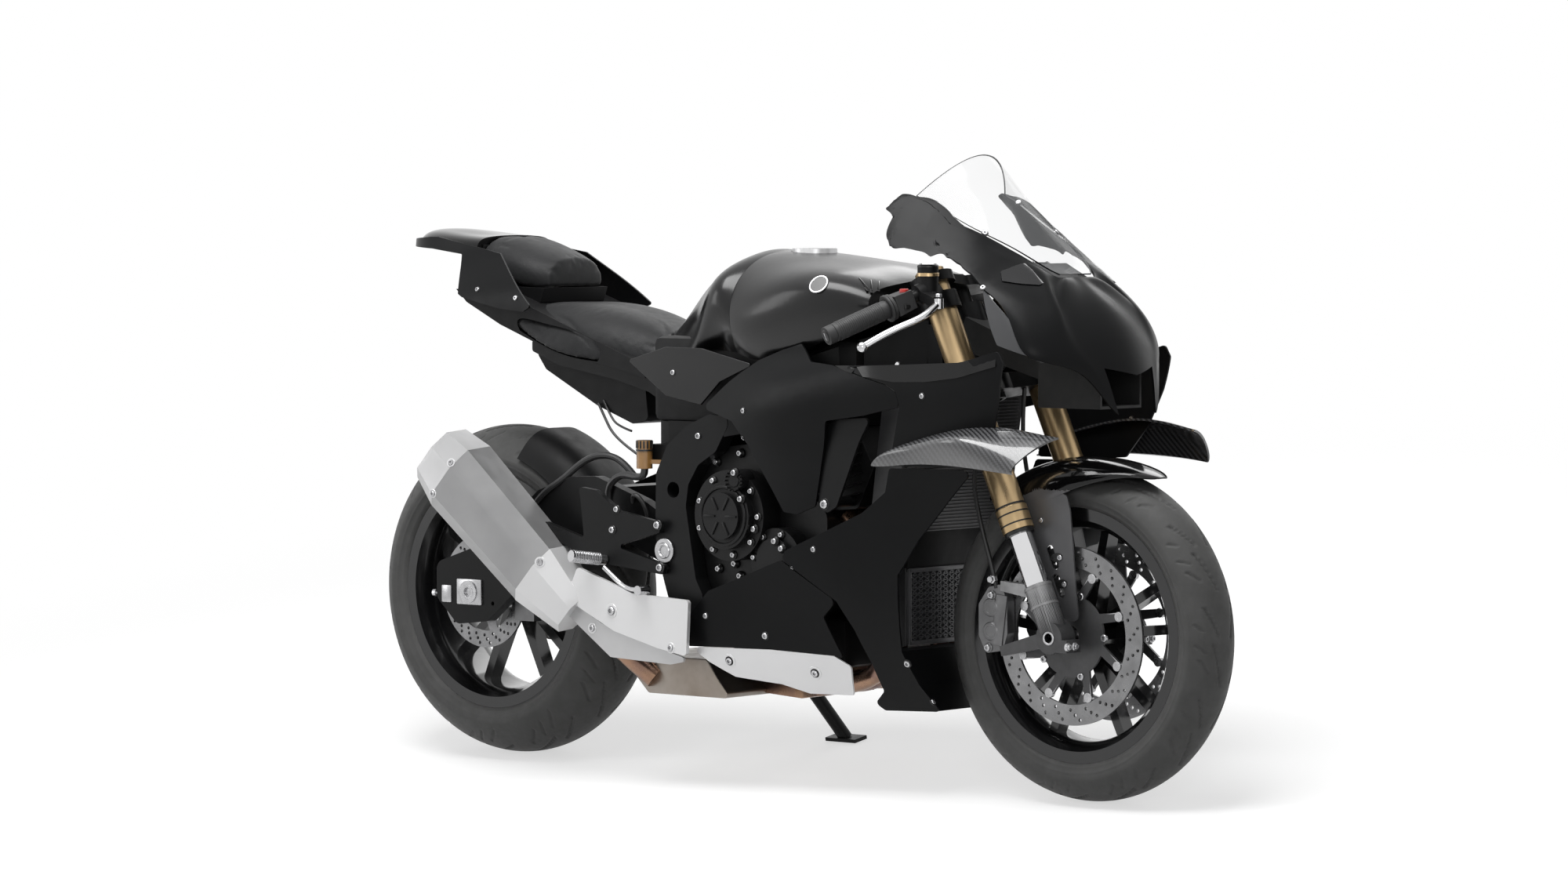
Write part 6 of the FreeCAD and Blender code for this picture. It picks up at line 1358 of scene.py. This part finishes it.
trim("steering_details", bm, STEERING,
     [BOLT_STEEL, BOLT_BLACK, CAST_GREY, CALIPER, SOFT_RUBBER, RED_SWITCH, GOLD])

# %% Disc bolts and bobbins
bm = bmesh.new()
CARRIER_BOLT_REACH = 75
BOBBIN_REACH = 115
DISC_OUT = 62.5
for side in (-1, 1):
    out = Vector((0, side, 0))
    for i in range(5):
        angle = -math.tau * i / 5
        screw(bm, FRONT_AXLE + Vector((math.cos(angle) * CARRIER_BOLT_REACH, side * 61.5,
                                       math.sin(angle) * CARRIER_BOLT_REACH)), out, 6.5)
    for i in range(8):
        angle = math.radians(20) + math.tau * i / 8
        ring(bm, FRONT_AXLE + Vector((math.cos(angle) * BOBBIN_REACH, side * DISC_OUT,
                                      math.sin(angle) * BOBBIN_REACH)), out, 3.6, 8.2, 1.6)
trim("front_disc_bolts", bm, frame["nodes"]["front_discs"]["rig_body"], [BOLT_STEEL])
bm = bmesh.new()
for i in range(5):
    angle = math.tau * i / 5 + 0.3
    screw(bm, REAR_AXLE + Vector((math.cos(angle) * 62, -104, math.sin(angle) * 62)), (0, -1, 0), 5)
trim("rear_disc_bolts", bm, frame["nodes"]["rear_disc"]["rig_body"], [BOLT_STEEL])

# %% [markdown]
# Round the swingarm are the silver axle plates, the rubber hoses of the rear brake and the knurled pegs.

# %% Swingarm, rear hoses and footrest details
ADJUSTER = ((0, -20), (4, -20), (4, 16), (7, 16), (7, 24), (0, 24))
REAR_LINES = (
    (((178, -143, 500), (200, -146, 520), (246, -143, 545), (292, -128, 586), (338, -118, 596),
      (378, -112, 580), (402, -108, 552)), 6.5),
    (((486, -176, 580), (486, -174, 562), (452, -158, 556), (404, -150, 562), (368, -146, 540),
      (364, -143, 510), (366, -138, 488)), 7.0),
    (((424, -140, 508), (430, -150, 522), (448, -152, 522), (462, -146, 500), (462, -140, 478)), 4.5),
    (((296, -96, 690), (318, -100, 660), (336, -102, 636), (372, -104, 612), (404, -104, 596)), 2.6),
    (((306, -92, 696), (330, -98, 664), (352, -100, 648), (388, -104, 640)), 2.2))
bm = bmesh.new()
for side in (-1, 1):
    out = Vector((0, side, 0))
    block(bm, (0, side * 144, 320), (66, 7, 50), None, 2.5, 0)
    block(bm, (-62, side * 138, 314), (26, 16, 34), None, 2.5, 0)
    turned(bm, ADJUSTER, (-78, side * 138, 314), (-1, 0, 0), 10, 0)
    peg, tip = Vector((404, side * 198, 402)), Vector((386, side * 272, 412))
    run = (tip - peg).normalized()
    for i in range(15):
        ring(bm, peg.lerp(tip, 0.18 + 0.052 * i), run, 10, 11.9, 2.2, 0, 20)
    for x, z, radius in ((539, 472, 7), (545, 393, 7), (436, 498, 5.5), (425, 459, 6)):
        place, facing = seat("footrests", x, z, side)
        button(bm, place, out, radius * 1.4, 2, 1)
        screw(bm, place + out * 2, out, radius)
    ring(bm, Vector((545, side * 189, 424)), out, 9, 15, 3, 0, 32)
    for x, z in ((548, 640), (628, 640), (600, 300)):
        place, facing = seat("main_frame", x, z, side)
        screw(bm, place, out, 6)
for route, radius in REAR_LINES:
    hose(bm, route, radius, 2)
FLUID_CUP = Vector((486, -176, 575))
for i in range(14):
    spoke = Matrix.Rotation(math.tau * i / 14, 4, "Z")
    block(bm, FLUID_CUP + spoke @ Vector((15.2, 0, 45)), (2.2, 3.2, 14), spoke, 0.5, 1)
ring(bm, FLUID_CUP + Vector((0, 0, 34)), (0, 0, 1), 14.4, 16.2, 2, 1)
trim("rear_details", bm, "root", [BOLT_STEEL, BOLT_BLACK, HOSE_RUBBER])
